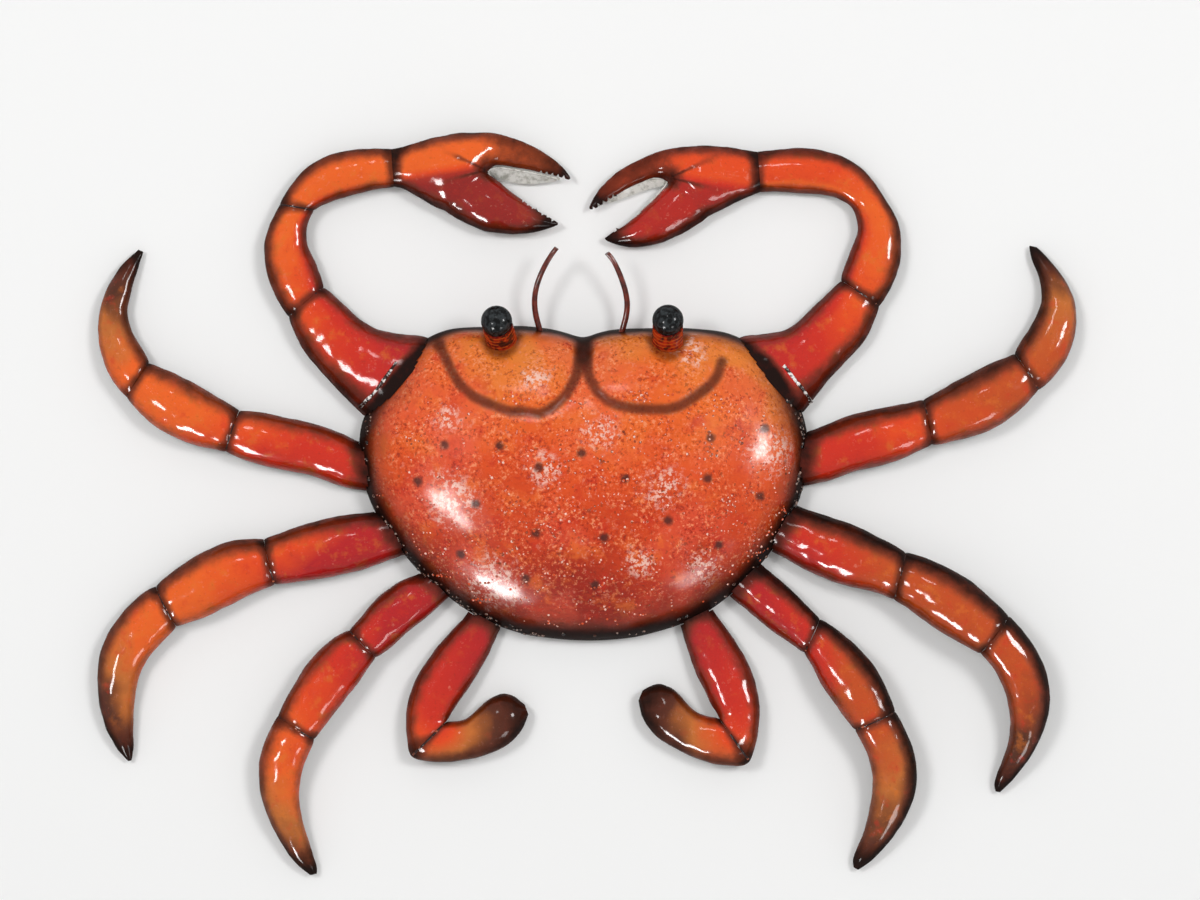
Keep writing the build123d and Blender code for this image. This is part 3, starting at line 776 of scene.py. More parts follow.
def layered(tree, tint, layers):
    """Lays colours over a tint: layers of (noise, none at, full at, strength, colour)."""
    for noise, low, high, strength, colour in layers:
        tint = blend_colours(tree, spread(tree, noise, low, high, 0, strength), tint, colour)
    return tint


def airbrushed(tree, tint, dark):
    """Lays burnt brown and then black over a colour, as dark goes up."""
    return layered(tree, tint, ((dark, 0.05, 0.6, 0.8, BURNT), (dark, 0.42, 1.0, 0.97, BLACK)))


def flecks(tree, tint, place, per_metre, share):
    """Tiny dark pits and pale rubs."""
    grain = speckle(tree, place, per_metre, 2, 0.6)
    layers = ((grain, 0.64, 0.70, share, BURNT), (grain, 0.36, 0.30, 0.7 * share, PALE_PINK))
    return layered(tree, tint, layers)


def enamel(name, stops, seed, warmth=0.45):
    """Airbrushed gloss enamel: a run of colours by along, black by dark, and worn patches."""
    material, tree, shader, place = new_paint(name, seed)
    shift = swing(tree, speckle(tree, place, 42, 2), 0.3)
    patch = speckle(tree, place, 130, 4, 0.6)
    wear = speckle(tree, place, 190, 5, 0.72)
    tint = colour_run(tree, maths(tree, "ADD", attribute(tree, "along"), shift), stops)
    tint = layered(tree, tint, (
        (patch, 0.52, 0.74, warmth, AMBER), (patch, 0.46, 0.26, warmth, RED),
        (wear, 0.63, 0.72, 0.3, PALE_PINK),
    ))
    tint = flecks(tree, tint, place, 420, 0.14)
    dark = maths(tree, "ADD", attribute(tree, "dark"), swing(tree, patch, 0.6))
    gloss(tree, shader, place, airbrushed(tree, tint, dark), dark=dark)
    return material


def mottled(name, seed, first, second, grain, band, bump, coat=0.5, rough=0.6):
    """Two colours broken up by noise: grain is per metre, band is where the second comes in."""
    material, tree, shader, place = new_paint(name, seed)
    share = spread(tree, speckle(tree, place, grain, 4, rough), *band)
    gloss(tree, shader, place, blend_colours(tree, share, first, second), bump)
    shader.inputs["Coat Weight"].default_value = coat
    return material


BACK_PAINT = mottled("back_paint", 3, UNDERSIDE, paint(88, 74, 66), 60, (0.35, 0.7), 0.3 * MM, coat=0.0)
print("back paint:", BACK_PAINT.name)

# %% [markdown]
# ## Strokes of black
# On the real crab black was sprayed along edges, over joints and on the points, freehand; the strokes along
# the edges are partly that black and partly painted shade, where the sheet curves back toward the wall. It
# could be painted on by brush, but strokes worked out from each sheet's own edges repeat on every limb. A
# stroke is full up to one distance and gone beyond another.

# %% Airbrush a limb sheet
STROKE_WIDTH = 0.85
LOW_EDGE = (-1.0, -0.42)
JOINT_BAND = (0.2 * MM, 5.4 * MM)
TIP_BAND = (2 * MM, 30 * MM)
INNER_BAND = (0.25, 0.85)
ROOT_REACH = 45 * MM
LOW_SIDE_REDDER = 0.14


def left_clear(strokes):
    """What black leaves clear: strokes of (strength, full up to, none beyond, distance)."""
    clear = 1
    for strength, full, none, distance in strokes:
        clear *= 1 - strength * (1 - ease(full, none, distance))
    return clear


def shell_at(point):
    """The place on the shell straight before or behind a point, or None."""
    return dome.ray_cast(Vector((point.x, -1, point.z)), -FRONT)[0]


def airbrush(
    piece, before, total, upper=0.8, lower=0.45, joint=0.62, root=0.8, root_band=(-5, 18),
    inner_red=0.0, burnt=0.0, stroke=0.15,
):
    """Sets how far along the limb each vertex is, and how much black it gets."""
    run, across, seam = (get_marks(piece, name) for name in ("run", "across", "seam"))
    closed_outline = SHELL_OUTLINE + SHELL_OUTLINE[:1]
    darks, alongs = [], []
    for vert, here, side, gap in zip(piece.data.vertices, run, across, seam):
        # The upper and lower edge strokes are partly black paint and partly painted shade.
        strokes = [
            (upper, -stroke - STROKE_WIDTH, -stroke, side), (lower, *LOW_EDGE, -side),
            (joint, *JOINT_BAND, gap), (burnt, *TIP_BAND, total - before - here),
        ]
        if before + here < ROOT_REACH:
            from_shell = line_distance(*pixel_of(vert.co), closed_outline)
            strokes.append((root, *root_band, -from_shell if shell_at(vert.co) else from_shell))
        darks.append(1 - left_clear(strokes))
        share = (before + here) / total
        redder = LOW_SIDE_REDDER * side * (1 - share) + inner_red * ease(*INNER_BAND, side) * share
        alongs.append(share - redder)
    set_marks(piece, "dark", darks)
    set_marks(piece, "along", alongs)


print("a joint keeps", round(left_clear([(0.62, *JOINT_BAND, 0)]), 2), "of its colour at the seam")

# %% [markdown]
# ## Trimming and gauge
# A raised sheet is trimmed where it would show inside the shell, and gets its 1.2 mm. The wall
# could be modelled as a second skin, but Solidify keeps both sides alike. The gauge is thinned
# toward a point, where the full one would pass through itself.

# %% Trim, thicken and hand over
GAUGE = 1.2 * MM
THIN_SHARE = 0.33
TRIM_DEPTH = 0.5 * MM
FULL_HALF = 10 * MM
SMOOTH_BELOW = math.radians(50)


def trim_at_shell(piece):
    """Cuts away what would show inside the carapace."""
    make_active(piece)
    bpy.ops.object.mode_set(mode="EDIT")
    mesh = bmesh.from_edit_mesh(piece.data)
    for vert in mesh.verts:
        hit = shell_at(vert.co)
        vert.select = hit is not None and vert.co.y > hit.y + TRIM_DEPTH
    mesh.select_flush_mode()
    bmesh.update_edit_mesh(piece.data)
    bpy.ops.mesh.delete(type="VERT")
    bpy.ops.object.mode_set(mode="OBJECT")


def give_gauge(piece, finish):
    """Paints both sides and gives the sheet its thickness, inward, thinner toward a point."""
    for coat in (finish, BACK_PAINT):
        piece.data.materials.append(coat)
    group = piece.vertex_groups.new(name="gauge")
    for index, half in enumerate(get_marks(piece, "half")):
        group.add([index], min(1, THIN_SHARE * half / GAUGE), "REPLACE")
    apply_modifier(
        piece, "SOLIDIFY", thickness=GAUGE, offset=-1, vertex_group="gauge", use_rim=True,
        material_offset=1, material_offset_rim=1,
    )
    piece.vertex_groups.clear()


def hand_over(piece, slot, *nodes):
    """Smooth shading, the body it rides on, and the parts it stands for, which are hidden; the slot is not
    used.
    """
    make_active(piece)
    bpy.ops.object.shade_smooth_by_angle(angle=SMOOTH_BELOW)
    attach(piece, "root")
    if nodes:
        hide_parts(*nodes)


print("full gauge where a sheet is wider than", round(2 * GAUGE / THIN_SHARE / MM, 1), "mm")

# %% [markdown]
# ## Welds between sheets
# The sheets of a limb are joined by a thin dark weld, painted over; its pale spots are painted highlights,
# where the sheet edge would catch the light. It could be a row of beads, but on a limb it shows as one fine
# uneven line, so it is a wire on a smooth curve, laid on whichever sheet is found nearer the front.

# %% Wires and joint welds
WELD_BLACK = paint(44, 18, 12)
WELD_GRAIN = 260
# Black weld with near-white patches: the patches are painted highlights.
WELD_WITH_PAINTED_GLINT = mottled(
    "worn_weld", 44, WELD_BLACK, paint(244, 240, 236), WELD_GRAIN, (0.48, 0.57), 0.5 * MM, rough=0.7,
)
# Dark weld with pale spots: the pale spots are painted highlights.
JOINT_WELD_WITH_GLINTS = mottled(
    "joint_weld", 45, WELD_BLACK, paint(196, 104, 72), WELD_GRAIN, (0.56, 0.68), 0.5 * MM, rough=0.7,
)
WELD_SHARES = (0.08, 0.2, 0.35, 0.5, 0.65, 0.8, 0.92)
WELD_RADIUS = 0.6 * MM


def wire(name, points, radius, finish, slot):
    """A thin round wire on a smooth line through the points, as a mesh."""
    clear_selection()
    line = bpy.data.curves.new(name, "CURVE")
    line.dimensions = "3D"
    line.bevel_depth, line.bevel_resolution = radius, 2
    line.resolution_u, line.use_fill_caps = 8, True
    spline = line.splines.new("NURBS")
    spline.points.add(len(points) - 1)
    for point, place in zip(spline.points, points):
        point.co = (*place, 1)
    spline.order_u, spline.use_endpoint_u = 3, True
    piece = bpy.data.objects.new(name, line)
    bpy.context.scene.collection.objects.link(piece)
    make_active(piece)
    bpy.ops.object.convert(target="MESH")
    piece = bpy.context.object
    piece.data.materials.append(finish)
    hand_over(piece, slot)
    return piece


def front_of(sheets, x, y):
    """How far in front of the wall the sheets stand at a pixel, or None."""
    hits = [sheet.ray_cast(spot(x, y, 1.0), -FRONT) for sheet in sheets]
    return max((-place.y for found, place, _, _ in hits if found), default=None)


def weld_joint(name, row, sheets, slot):
    """A thin weld across the joint that a row crosses."""
    points = []
    for share in WELD_SHARES:
        x, y = row[0] + (row[2] - row[0]) * share, row[1] + (row[3] - row[1]) * share
        off = front_of(sheets, x, y)
        if off is not None:
            points.append(spot(x, y, off))
    wire(name + "_weld", points, WELD_RADIUS, JOINT_WELD_WITH_GLINTS, slot)


print("weld paints:", WELD_WITH_PAINTED_GLINT.name, "and", JOINT_WELD_WITH_GLINTS.name)

# %% A whole limb, from the root to the end
LIMB_DENTS = 0.8 * MM


def form_limb(tables, nodes, offs, crowns, slots, finish, end="joint", last_groove=1.0, **strokes):
    """Raises and finishes the sheets of a limb and welds them; offs are in millimetres."""
    runs = [distances([spot(*midway(row)) for row in rows])[-1] for rows in tables]
    offs = [off * MM for off in offs]
    pieces = []
    for index, (rows, node, slot) in enumerate(zip(tables, nodes, slots)):
        last = index == len(tables) - 1
        joints = (index > 0, not last or end == "joint")
        grooves = (1, last_groove if last else 1)
        here = end if last else "joint"
        ribs = ribs_through(rows, offs[index:index + 2], crowns[index], joints, grooves, here)
        piece = raise_sheet(node + "_sheet", ribs)
        apply_modifier(piece, "SUBSURF", levels=2, render_levels=2)
        airbrush(piece, sum(runs[:index]), sum(runs), **strokes)
        hammer(piece, LIMB_DENTS)
        if index == 0:
            trim_at_shell(piece)
        give_gauge(piece, finish)
        hand_over(piece, slot, node)
        pieces.append(piece)
    for index, rows in enumerate(tables[:-1]):
        weld_joint(nodes[index], rows[-1], pieces[index:index + 2], slots[index])
    print(nodes[0].rsplit("_", 1)[0], "faces", [len(piece.data.polygons) for piece in pieces])
    return pieces


# %% [markdown]
# ## The walking legs
# Three sheets to a leg: crimson at the shell, orange past the knee and burnt to black at the
# point. A leg could be one long tube, but then the grooves at its welds would have to be cut
# in, so each section is a sheet of its own. The upper edge has the broad stroke of black.

# %% Six walking legs
LEG_SLOTS = ("leg_root_enamel", "leg_enamel", "leg_tip_enamel")
LEG_CROWNS = [(0.42, 0.42)] * 3
LEG_ENDS = (TAN, BROWN, BLACK)
LEGS = {
    "left_leg_1": (
        LEFT_LEG_1, (3, 8, 8, 2.5), [(0.2, RED), (0.34, RED_ORANGE), (0.5, ORANGE), (0.72, ORANGE)],
        (0.81, 0.91, 1), {"upper": 0.7, "lower": 0.4},
    ),
    "right_leg_1": (
        RIGHT_LEG_1, (3, 8, 8, 2.5), [(0.16, RED), (0.3, RED_ORANGE), (0.5, RUSSET), (0.7, RUSSET)],
        (0.84, 0.93, 1), {"upper": 0.8, "lower": 0.5, "stroke": 0.1},
    ),
    "left_leg_2": (
        LEFT_LEG_2, (3, 8, 8, 2.5), [(0.2, CRIMSON), (0.33, RED_ORANGE), (0.5, ORANGE), (0.72, ORANGE)],
        (0.82, 0.91, 1), {"upper": 0.75, "lower": 0.35},
    ),
    "right_leg_2": (
        RIGHT_LEG_2, (3, 14, 20, 2.5), [(0, CRIMSON), (0.14, RED), (0.3, RUSSET), (0.74, RUSSET)],
        (0.86, 1), {"upper": 0.92, "lower": 0.5, "stroke": 0.05},
    ),
    "left_leg_3": (
        LEFT_LEG_3, (3, 10, 12, 2.5), [(0.2, CRIMSON), (0.36, RED), (0.5, RED_ORANGE), (0.7, ORANGE)],
        (0.85, 0.95, 1), {"upper": 0.65, "lower": 0.4},
    ),
    "right_leg_3": (
        RIGHT_LEG_3, (3, 12, 16, 2.5), [(0.14, CRIMSON), (0.3, RED), (0.45, RUSSET), (0.58, RUSSET)],
        (0.74, 0.88, 1), {"upper": 0.92, "lower": 0.5, "stroke": 0.05},
    ),
}
for seed, (leg, (tables, offs, stops, ends, strokes)) in enumerate(LEGS.items()):
    stops += zip(ends, LEG_ENDS[-len(ends):])
    form_limb(
        tables, [leg + part for part in ("_upper", "_middle", "_tip")], offs, LEG_CROWNS, LEG_SLOTS,
        enamel(leg + "_enamel", stops, seed), "point", burnt=0.9, **strokes,
    )

# %% [markdown]
# ## The arms
# The arms bend round to the claws, red at the shell and orange at the wrist. They could be
# swept along a curve, but their two edges aren't parallel, so they are raised over rows as the
# legs are. The wrist has no deep groove: there the paint alone marks where the claw starts.

# %% Two arms
ARM_SLOTS = ("arm_enamel",) * 3
ARM_STOPS = {
    "left": [(0, CRIMSON), (0.25, RED), (0.42, RED_ORANGE), (0.6, ORANGE)],
    "right": [(0, CRIMSON), (0.22, RED), (0.35, RED_ORANGE), (0.6, ORANGE), (0.8, RED_ORANGE)],
}
ARM_STROKES = {
    "last_groove": 0.15, "upper": 0.8, "lower": 0.7, "root": 1.0, "root_band": (-7, 5), "inner_red": 0.45,
}
form_limb(
    LEFT_ARM, ["left_arm_shoulder", "left_arm_lower", "left_arm_upper"], (3, 6, 7, 7),
    [(0.31, 0.40), (0.40, 0.40), (0.40, 0.38)], ARM_SLOTS,
    enamel("left_arm_enamel", ARM_STOPS["left"], 7), **ARM_STROKES,
)
form_limb(
    RIGHT_ARM, ["right_arm_shoulder", "right_arm_forearm"], (3, 5, 5), [(0.31, 0.40), (0.40, 0.38)],
    ARM_SLOTS, enamel("right_arm_enamel", ARM_STOPS["right"], 8), **ARM_STROKES,
)

# %% [markdown]
# ## The swimming legs
# The hindmost pair is folded under the shell, with a mitred elbow and a dark rounded end. The
# mitre could be cut afterwards, but rows that slant toward the elbow already meet in its line.

# %% Two swimming legs
PADDLE_STOPS = [(0, BROWN), (0.12, CRIMSON), (0.45, RED), (0.6, RED_ORANGE)]
PADDLE_STOPS += zip((0.75, 0.85, 1), LEG_ENDS)
for side, tables, seed in (("left", LEFT_PADDLE, 9), ("right", RIGHT_PADDLE, 10)):
    form_limb(
        tables, [side + "_paddle_upper", side + "_paddle_lower"], (3, 8, 6), [(0.36, 0.36)] * 2,
        LEG_SLOTS[:2], enamel(side + "_paddle_enamel", PADDLE_STOPS, seed, warmth=0.15), "round",
        upper=0.7, lower=0.6, burnt=0.75,
    )

# %% [markdown]
# ## The claws
# A claw is one sheet that flows from the palm into both fingers. Two filled forms, the palm
# with its upper finger and the lower finger, are melted into one by a fine remesh, softened,
# notched by three-sided files for the teeth, and only then cut open at the back.

# %% Melt, notch and open the claws
VOXEL = 0.7 * MM
NOTCH_PITCH = 3 * MM
NOTCH_SIZE = 1.5 * MM


def file_notches(piece, mouth_edges, off):
    """Cuts saw teeth along pixel lines, each with the side that its notches point to."""
    clear_selection()
    files = []
    for start, end, side in mouth_edges:
        start, end = spot(*start, off), spot(*end, off)
        along = (end - start).normalized()
        inward = along.cross(-FRONT) * side
        turn = Matrix((inward.cross(FRONT), inward, FRONT)).transposed()
        for index in range(int((end - start).length / NOTCH_PITCH) + 1):
            bpy.ops.mesh.primitive_cylinder_add(
                vertices=3, radius=NOTCH_SIZE, depth=DOME, rotation=turn.to_euler(),
                location=start + along * NOTCH_PITCH * index,
            )
            files.append(bpy.context.object)
    clear_selection()
    for file in files:
        file.select_set(True)
    bpy.context.view_layer.objects.active = files[0]
    bpy.ops.object.join()
    apply_modifier(piece, "BOOLEAN", operation="DIFFERENCE", object=files[0], solver="EXACT")
    bpy.data.objects.remove(files[0])


def cut_open(piece, point, direction):
    """Cuts a form along a plane and removes what lies on the plane's own side."""
    make_active(piece)
    bpy.ops.object.mode_set(mode="EDIT")
    bpy.ops.mesh.select_all(action="SELECT")
    bpy.ops.mesh.bisect(plane_co=point, plane_no=direction, clear_outer=True)
    bpy.ops.object.mode_set(mode="OBJECT")


def melt_crease(piece, creases, off):
    """Smooths the valleys where the palm's and the lower finger's forms cross."""
    group = piece.vertex_groups.new(name="crease")
    for vert in piece.data.vertices:
        raised = ease(1.5 * MM, 4 * MM, -vert.co.y - off)
        if raised > 0:
            nearest = min(line_distance(*pixel_of(vert.co), crease) for crease in creases)
            group.add([vert.index], raised * (1 - ease(12, 26, nearest)), "REPLACE")
    apply_modifier(piece, "SMOOTH", factor=0.9, iterations=70, vertex_group="crease")
    piece.vertex_groups.clear()


def form_claw(side, palm_rows, finger_rows, off, mouth_edges, corner, finish, finger_brown):
    """Melts palm and lower finger into one sheet, then notches, opens, paints and thickens it."""
    lead_in = tuple(2 * a - b for a, b in zip(palm_rows[0], palm_rows[1]))
    forms = []
    for name, rows in (("_claw_sheet", [lead_in, *palm_rows]), ("_finger", finger_rows)):
        ribs = ribs_through(rows, (off, off), CLAW_CROWNS, (False, False), (0, 0), "point")
        forms.append(raise_sheet(side + name, ribs, closed=True))
    piece = forms[0]
    make_active(piece)
    forms[1].select_set(True)
    bpy.ops.object.join()
    apply_modifier(piece, "REMESH", mode="VOXEL", voxel_size=VOXEL)
    apply_modifier(piece, "SMOOTH", factor=0.5, iterations=14)
    melt_crease(piece, ([row[2:] for row in palm_rows[3:8]], [row[:2] for row in finger_rows[:5]]), off)
    file_notches(piece, mouth_edges, off)
    cut_open(piece, Vector((0, -off, 0)), -FRONT)
    wrist = spot(*midway(palm_rows[0]))
    ahead = (spot(*midway(palm_rows[1])) - wrist).normalized()
    cut_open(piece, wrist - ahead * WRIST_LAP, -ahead)
    airbrush_claw(piece, palm_rows, finger_rows, corner, wrist, finger_brown)
    set_marks(piece, "half", [FULL_HALF] * len(piece.data.vertices))
    hammer(piece, CLAW_DENTS)
    give_gauge(piece, finish)
    hand_over(piece, "claw_enamel", side + "_claw_palm", side + "_claw_finger")
    print(side, "claw faces:", len(piece.data.polygons))


# %% [markdown]
# ## Painting a claw
# A claw is orange above and dark red below a line from the wrist to the mouth's corner, with black round
# its edges, at the wrist, on the tips and in streaks that fan out of the corner. The dark red of the lower,
# downward-facing side is partly two-tone paint and partly painted shade, and the black round the edges is
# partly airbrush and partly painted shade. It could be split into two materials, but the border is soft, so
# each vertex gets its tone and its black from its distance to the lines of the drawing.

# %% Airbrush and form both claws
def airbrush_claw(piece, palm_rows, finger_rows, corner, wrist, finger_brown):
    """Sets the tone and the black of each vertex of a claw."""
    tip, lower_tip = spot(*palm_rows[-1][:2]), spot(*finger_rows[-1][:2])
    way = 1 if tip.x > wrist.x else -1
    low_wrist = palm_rows[0][2:]
    slope = (corner[1] - low_wrist[1]) / (corner[0] - low_wrist[0])
    top_edge = [row[:2] for row in palm_rows]
    low_edge = [row[2:] for row in palm_rows[:5]] + [row[2:] for row in finger_rows[3:]]
    mouth_top, mouth_low = [row[2:] for row in palm_rows[8:]], [row[:2] for row in finger_rows[5:]]
    upper_line = [midway(row) for row in palm_rows[8:]]
    lower_line = [midway(row) for row in finger_rows[4:]]
    axis = (spot(*corner) - wrist).normalized()
    darks, tones = [], []
    for vert in piece.data.vertices:
        flat = Vector((vert.co.x, 0, vert.co.z))
        x, y = pixel_of(flat)
        beyond = ease(-12, 16, (x - corner[0]) * way)
        # The darker tone below the line is partly two-tone paint and partly painted shade on the
        # downward-facing side.
        palm_tone = ease(-14, 10, y + 2 - low_wrist[1] - slope * (x - low_wrist[0]))
        lower = ease(-6, 6, line_distance(x, y, upper_line) - line_distance(x, y, lower_line))
        tones.append(palm_tone + (lower - palm_tone) * beyond)
        dx, dy = x - corner[0], y - corner[1]
        from_corner = math.hypot(dx, dy)
        streak = max(0, math.sin(math.atan2(dy, dx * way) * 9 + 0.9)) ** 2
        streak *= ease(0.45, 0.85, -dx * way / max(from_corner, 1))
        # Black round the edges is partly airbrush and partly painted shade.
        clear = left_clear([
            (0.8 - 0.35 * beyond, 0, 17, line_distance(x, y, top_edge)),
            (0.85, 0, 15, line_distance(x, y, low_edge)),
            (0.4, 0, 9, min(line_distance(x, y, mouth_top), line_distance(x, y, mouth_low))),
            (0.75, 2, 20, from_corner),
            (0.6 * streak * (1 - beyond), 12, 66, from_corner),
            (0.85, 2, 15, abs((flat - wrist).dot(axis)) / PX),
            (0.85, 2, 40, min((flat - tip).length, (flat - lower_tip).length) / PX),
        ])
        darks.append(1 - clear * (1 - finger_brown * beyond * (1 - lower)))
    set_marks(piece, "dark", darks)
    set_marks(piece, "along", tones)


CLAW_CROWNS = (0.34, 0.42)
CLAW_DENTS = 0.7 * MM
WRIST_LAP = 1.5 * MM
CLAW_OFFS = {"left": 7 * MM, "right": 5 * MM}
LEFT_CLAW_STOPS = [(0, ORANGE), (0.3, RED_ORANGE), (0.62, paint(170, 40, 22)), (1, paint(148, 30, 24))]
RIGHT_CLAW_STOPS = [(0.35, RED_ORANGE), (0.75, RED), (1, paint(178, 34, 24))]
LEFT_MOUTH_EDGES = [((541, 173.5), (566, 179.5), 1), ((524, 201), (555, 221), -1)]
RIGHT_MOUTH_EDGES = [((594, 209), (618, 195), 1), ((639, 213.5), (613, 232), -1)]
form_claw(
    "left", LEFT_PALM, LEFT_FINGER, CLAW_OFFS["left"], LEFT_MOUTH_EDGES, (487, 172),
    enamel("left_claw_enamel", LEFT_CLAW_STOPS, 11, warmth=0.12), 0.45,
)
form_claw(
    "right", RIGHT_PALM, RIGHT_FINGER, CLAW_OFFS["right"], RIGHT_MOUTH_EDGES, (670, 179),
    enamel("right_claw_enamel", RIGHT_CLAW_STOPS, 12, warmth=0.12), 0.5,
)

# %% [markdown]
# ## Bare steel in the mouths
# Where the mouth was cut, the sheet's edge stayed bare and shows as a bright line. Behind the upper finger
# lies a grey strip of bare sheet, partly turned-in sheet and partly painted shadow of the upper finger. The
# line is a thin wire that follows the cut, and the strip is a small grid of faces laid from the cut to the
# inside.

# %% Cut edges and turned-in strips
EDGE_WIRE = 0.5 * MM
STRIP_GAUGE = 0.6 * MM
STRIP_SETBACK = 0.45
BARE_STEEL = mottled(
    "bare_steel", 40, paint(226, 226, 220), paint(168, 168, 158), 300, (0.42, 0.7), 0.2 * MM,
)


def grey_strip(name, upper, lower, off, finish):
    """A narrow sheet between two pixel lines, its lower side set back toward the wall."""
    clear_selection()
    columns = len(upper)
    bpy.ops.mesh.primitive_grid_add(x_subdivisions=columns - 1, y_subdivisions=2)
    piece = bpy.context.object
    piece.name = piece.data.name = name
    order = sorted(piece.data.vertices, key=lambda vert: (round(vert.co.y, 3), vert.co.x))
    for index, vert in enumerate(order):
        row, column = divmod(index, columns)
        first, second = spot(*upper[column], off), spot(*lower[column], off * STRIP_SETBACK)
        vert.co = first + (second - first) * row / 2
    apply_modifier(piece, "SUBSURF", levels=2, render_levels=2)
    apply_modifier(piece, "SOLIDIFY", thickness=STRIP_GAUGE, offset=0)
    piece.data.materials.append(finish)
    hand_over(piece, "claw_enamel")


MOUTHS = {
    "left": ([
        (560, 180), (543, 176), (528, 173), (512, 170), (500, 168.5), (491, 169.5), (488, 173),
        (491, 178), (499, 184.5), (509, 193), (519, 200.5),
    ], [
        (489, 171), (496, 169), (506, 169), (518, 171), (532, 174), (546, 177), (556, 179.5),
    ], [
        (491, 175), (498, 178), (508, 181.5), (520, 184), (534, 184.5), (547, 182.5), (557, 181),
    ]),
    "right": ([
        (598, 206.5), (605, 200.5), (614, 194.5), (624, 188.5), (635, 183.5), (646, 180.2),
        (657, 178.5), (665, 179), (668, 182), (663, 189), (655, 198), (645, 208), (636, 217),
    ], [
        (667, 181), (659, 179.5), (648, 180.5), (637, 183.5), (626, 188), (616, 194), (607, 200.5),
    ], [
        (664, 186), (656, 187.5), (646, 190), (636, 193.5), (626, 197.5), (617, 200.5), (608, 203),
    ]),
}
for side, (cut, upper, lower) in MOUTHS.items():
    off = CLAW_OFFS[side]
    points = [spot(*point, off + EDGE_WIRE) for point in cut]
    wire(side + "_mouth_edge", points, EDGE_WIRE, BARE_STEEL, "claw_enamel")
    # The grey strip is partly turned-in sheet and partly painted shadow of the upper finger.
    grey_strip(side + "_mouth_strip", upper, lower, off, BARE_STEEL)
print("mouth pieces:", 2 * len(MOUTHS))

# %% [markdown]
# ## Black on the carapace
# Black goes round the rim, along the creases, into the notch and round the foot of each eye.
# It could come from a mask in the shader, but the shell has the lines it follows as distances
# already, so its strokes are worked out as those of the limbs are.

# %% Rim, brow lines, notch and eyes
EYES = {"left": (502, 341), "right": (667, 343)}
NOTCH = (584, 350, 11, 26)
RIM_BAND = 7 * MM
TOP_BAND = 3.5 * MM
BROW_LINE = (0.8 * MM, 5 * MM)
rim_darks = []
from_rims, from_brows = get_marks(shell, "rim"), get_marks(shell, "brow")
for vert, from_rim, from_brow in zip(shell.data.vertices, from_rims, from_brows):
    x, y = pixel_of(vert.co)
    band = RIM_BAND + (TOP_BAND - RIM_BAND) * (1 - ease(345, 400, y))
    strokes = [
        (1, 0.25 * band, 1.5 * band, from_rim), (0.45, 0.5 * band, 3.6 * band, from_rim),
        (0.6, *BROW_LINE, from_brow),
        (0.75, 0.3, 1.3, math.hypot((x - NOTCH[0]) / NOTCH[2], (y - NOTCH[1]) / NOTCH[3])),
    ]
    strokes += [(0.5, 14, 26, math.hypot(x - eye_x, y - eye_y)) for eye_x, eye_y in EYES.values()]
    rim_darks.append(1 - left_clear(strokes))
set_marks(shell, "dark", rim_darks)
print("share of the shell under black:", round(sum(rim_darks) / len(rim_darks), 2))

# %% [markdown]
# ## Colour of the carapace
# The shell is sprayed orange red, deeper below and yellower on the brows, with dark dots dabbed over the
# back. Pale patches in places are partly paint rubbed to chalk and partly painted highlights, and fine pale
# and dark specks are painted highlights and painted shade of a fine relief. Dots and pale patches are few,
# so each is placed by its own point, and the shader takes the distance to the nearest one.

# %% Mottled orange red
SHELL_STOPS = [
    (0, paint(158, 30, 6)), (0.25, paint(206, 60, 14)), (0.6, paint(228, 82, 26)),
    (0.85, paint(238, 106, 34)), (1, paint(234, 130, 48)),
]
SHELL_HEIGHTS = (-0.125, 0.04)
RELIEF_SHADE_HEIGHTS = (-0.120, -0.075)


def shell_colour(tree, place, flat, patch, wear):
    """Deep red at the bottom to amber on the brows, broken up at several sizes."""
    height = add_node(tree, "SeparateXYZ", {0: flat}).outputs[2]
    run = maths(tree, "ADD", height, swing(tree, speckle(tree, place, 26, 3), 0.09))
    tint = colour_run(tree, spread(tree, run, *SHELL_HEIGHTS), SHELL_STOPS)
    tint = layered(tree, tint, (
        (speckle(tree, place, 24, 2), 0.48, 0.62, 0.5, paint(232, 84, 56)),
        (patch, 0.52, 0.68, 0.6, paint(240, 112, 40)), (patch, 0.47, 0.30, 0.7, paint(204, 44, 18)),
        (wear, 0.58, 0.74, 0.5, PALE_PINK),
    ))
    # Pale and dark specks: painted highlights and painted shade of a fine relief, kept off the bottom.
    grain = speckle(tree, place, 480, 3, 0.7)
    coarse = spread(tree, speckle(tree, place, 70, 2), 0.36, 0.58)
    coarse = maths(tree, "MULTIPLY", coarse, spread(tree, height, *RELIEF_SHADE_HEIGHTS))
    for low, high, colour in ((0.54, 0.64, paint(248, 156, 108)), (0.46, 0.36, paint(150, 30, 12))):
        share = maths(tree, "MULTIPLY", spread(tree, grain, low, high, 0, 0.7), coarse)
        tint = blend_colours(tree, share, tint, colour)
    return tint


print("colours of the shell:", len(SHELL_STOPS))

# %% Pale patches, dots and the whole finish
SHELL_DOTS = [
    (447, 445), (501, 446), (420, 481), (540, 467), (582, 453), (478, 503), (537, 532), (463, 553),
    (527, 577), (595, 583), (604, 536), (667, 519), (717, 544), (758, 496), (709, 438), (706, 478),
    (625, 478), (763, 429),
]
# Pale patches: partly rubbed paint, partly painted highlights.
SHELL_RUBS_AND_HIGHLIGHTS = [
    (457, 500, 34), (492, 582, 36), (770, 450, 30), (600, 432, 24), (662, 486, 26), (548, 470, 22),
    (700, 566, 22), (450, 420, 18), (690, 352, 20), (535, 380, 20), (640, 560, 20),
]
DOT_RADIUS = 1.9 * MM
DOT_WOBBLE = 2.2 * MM


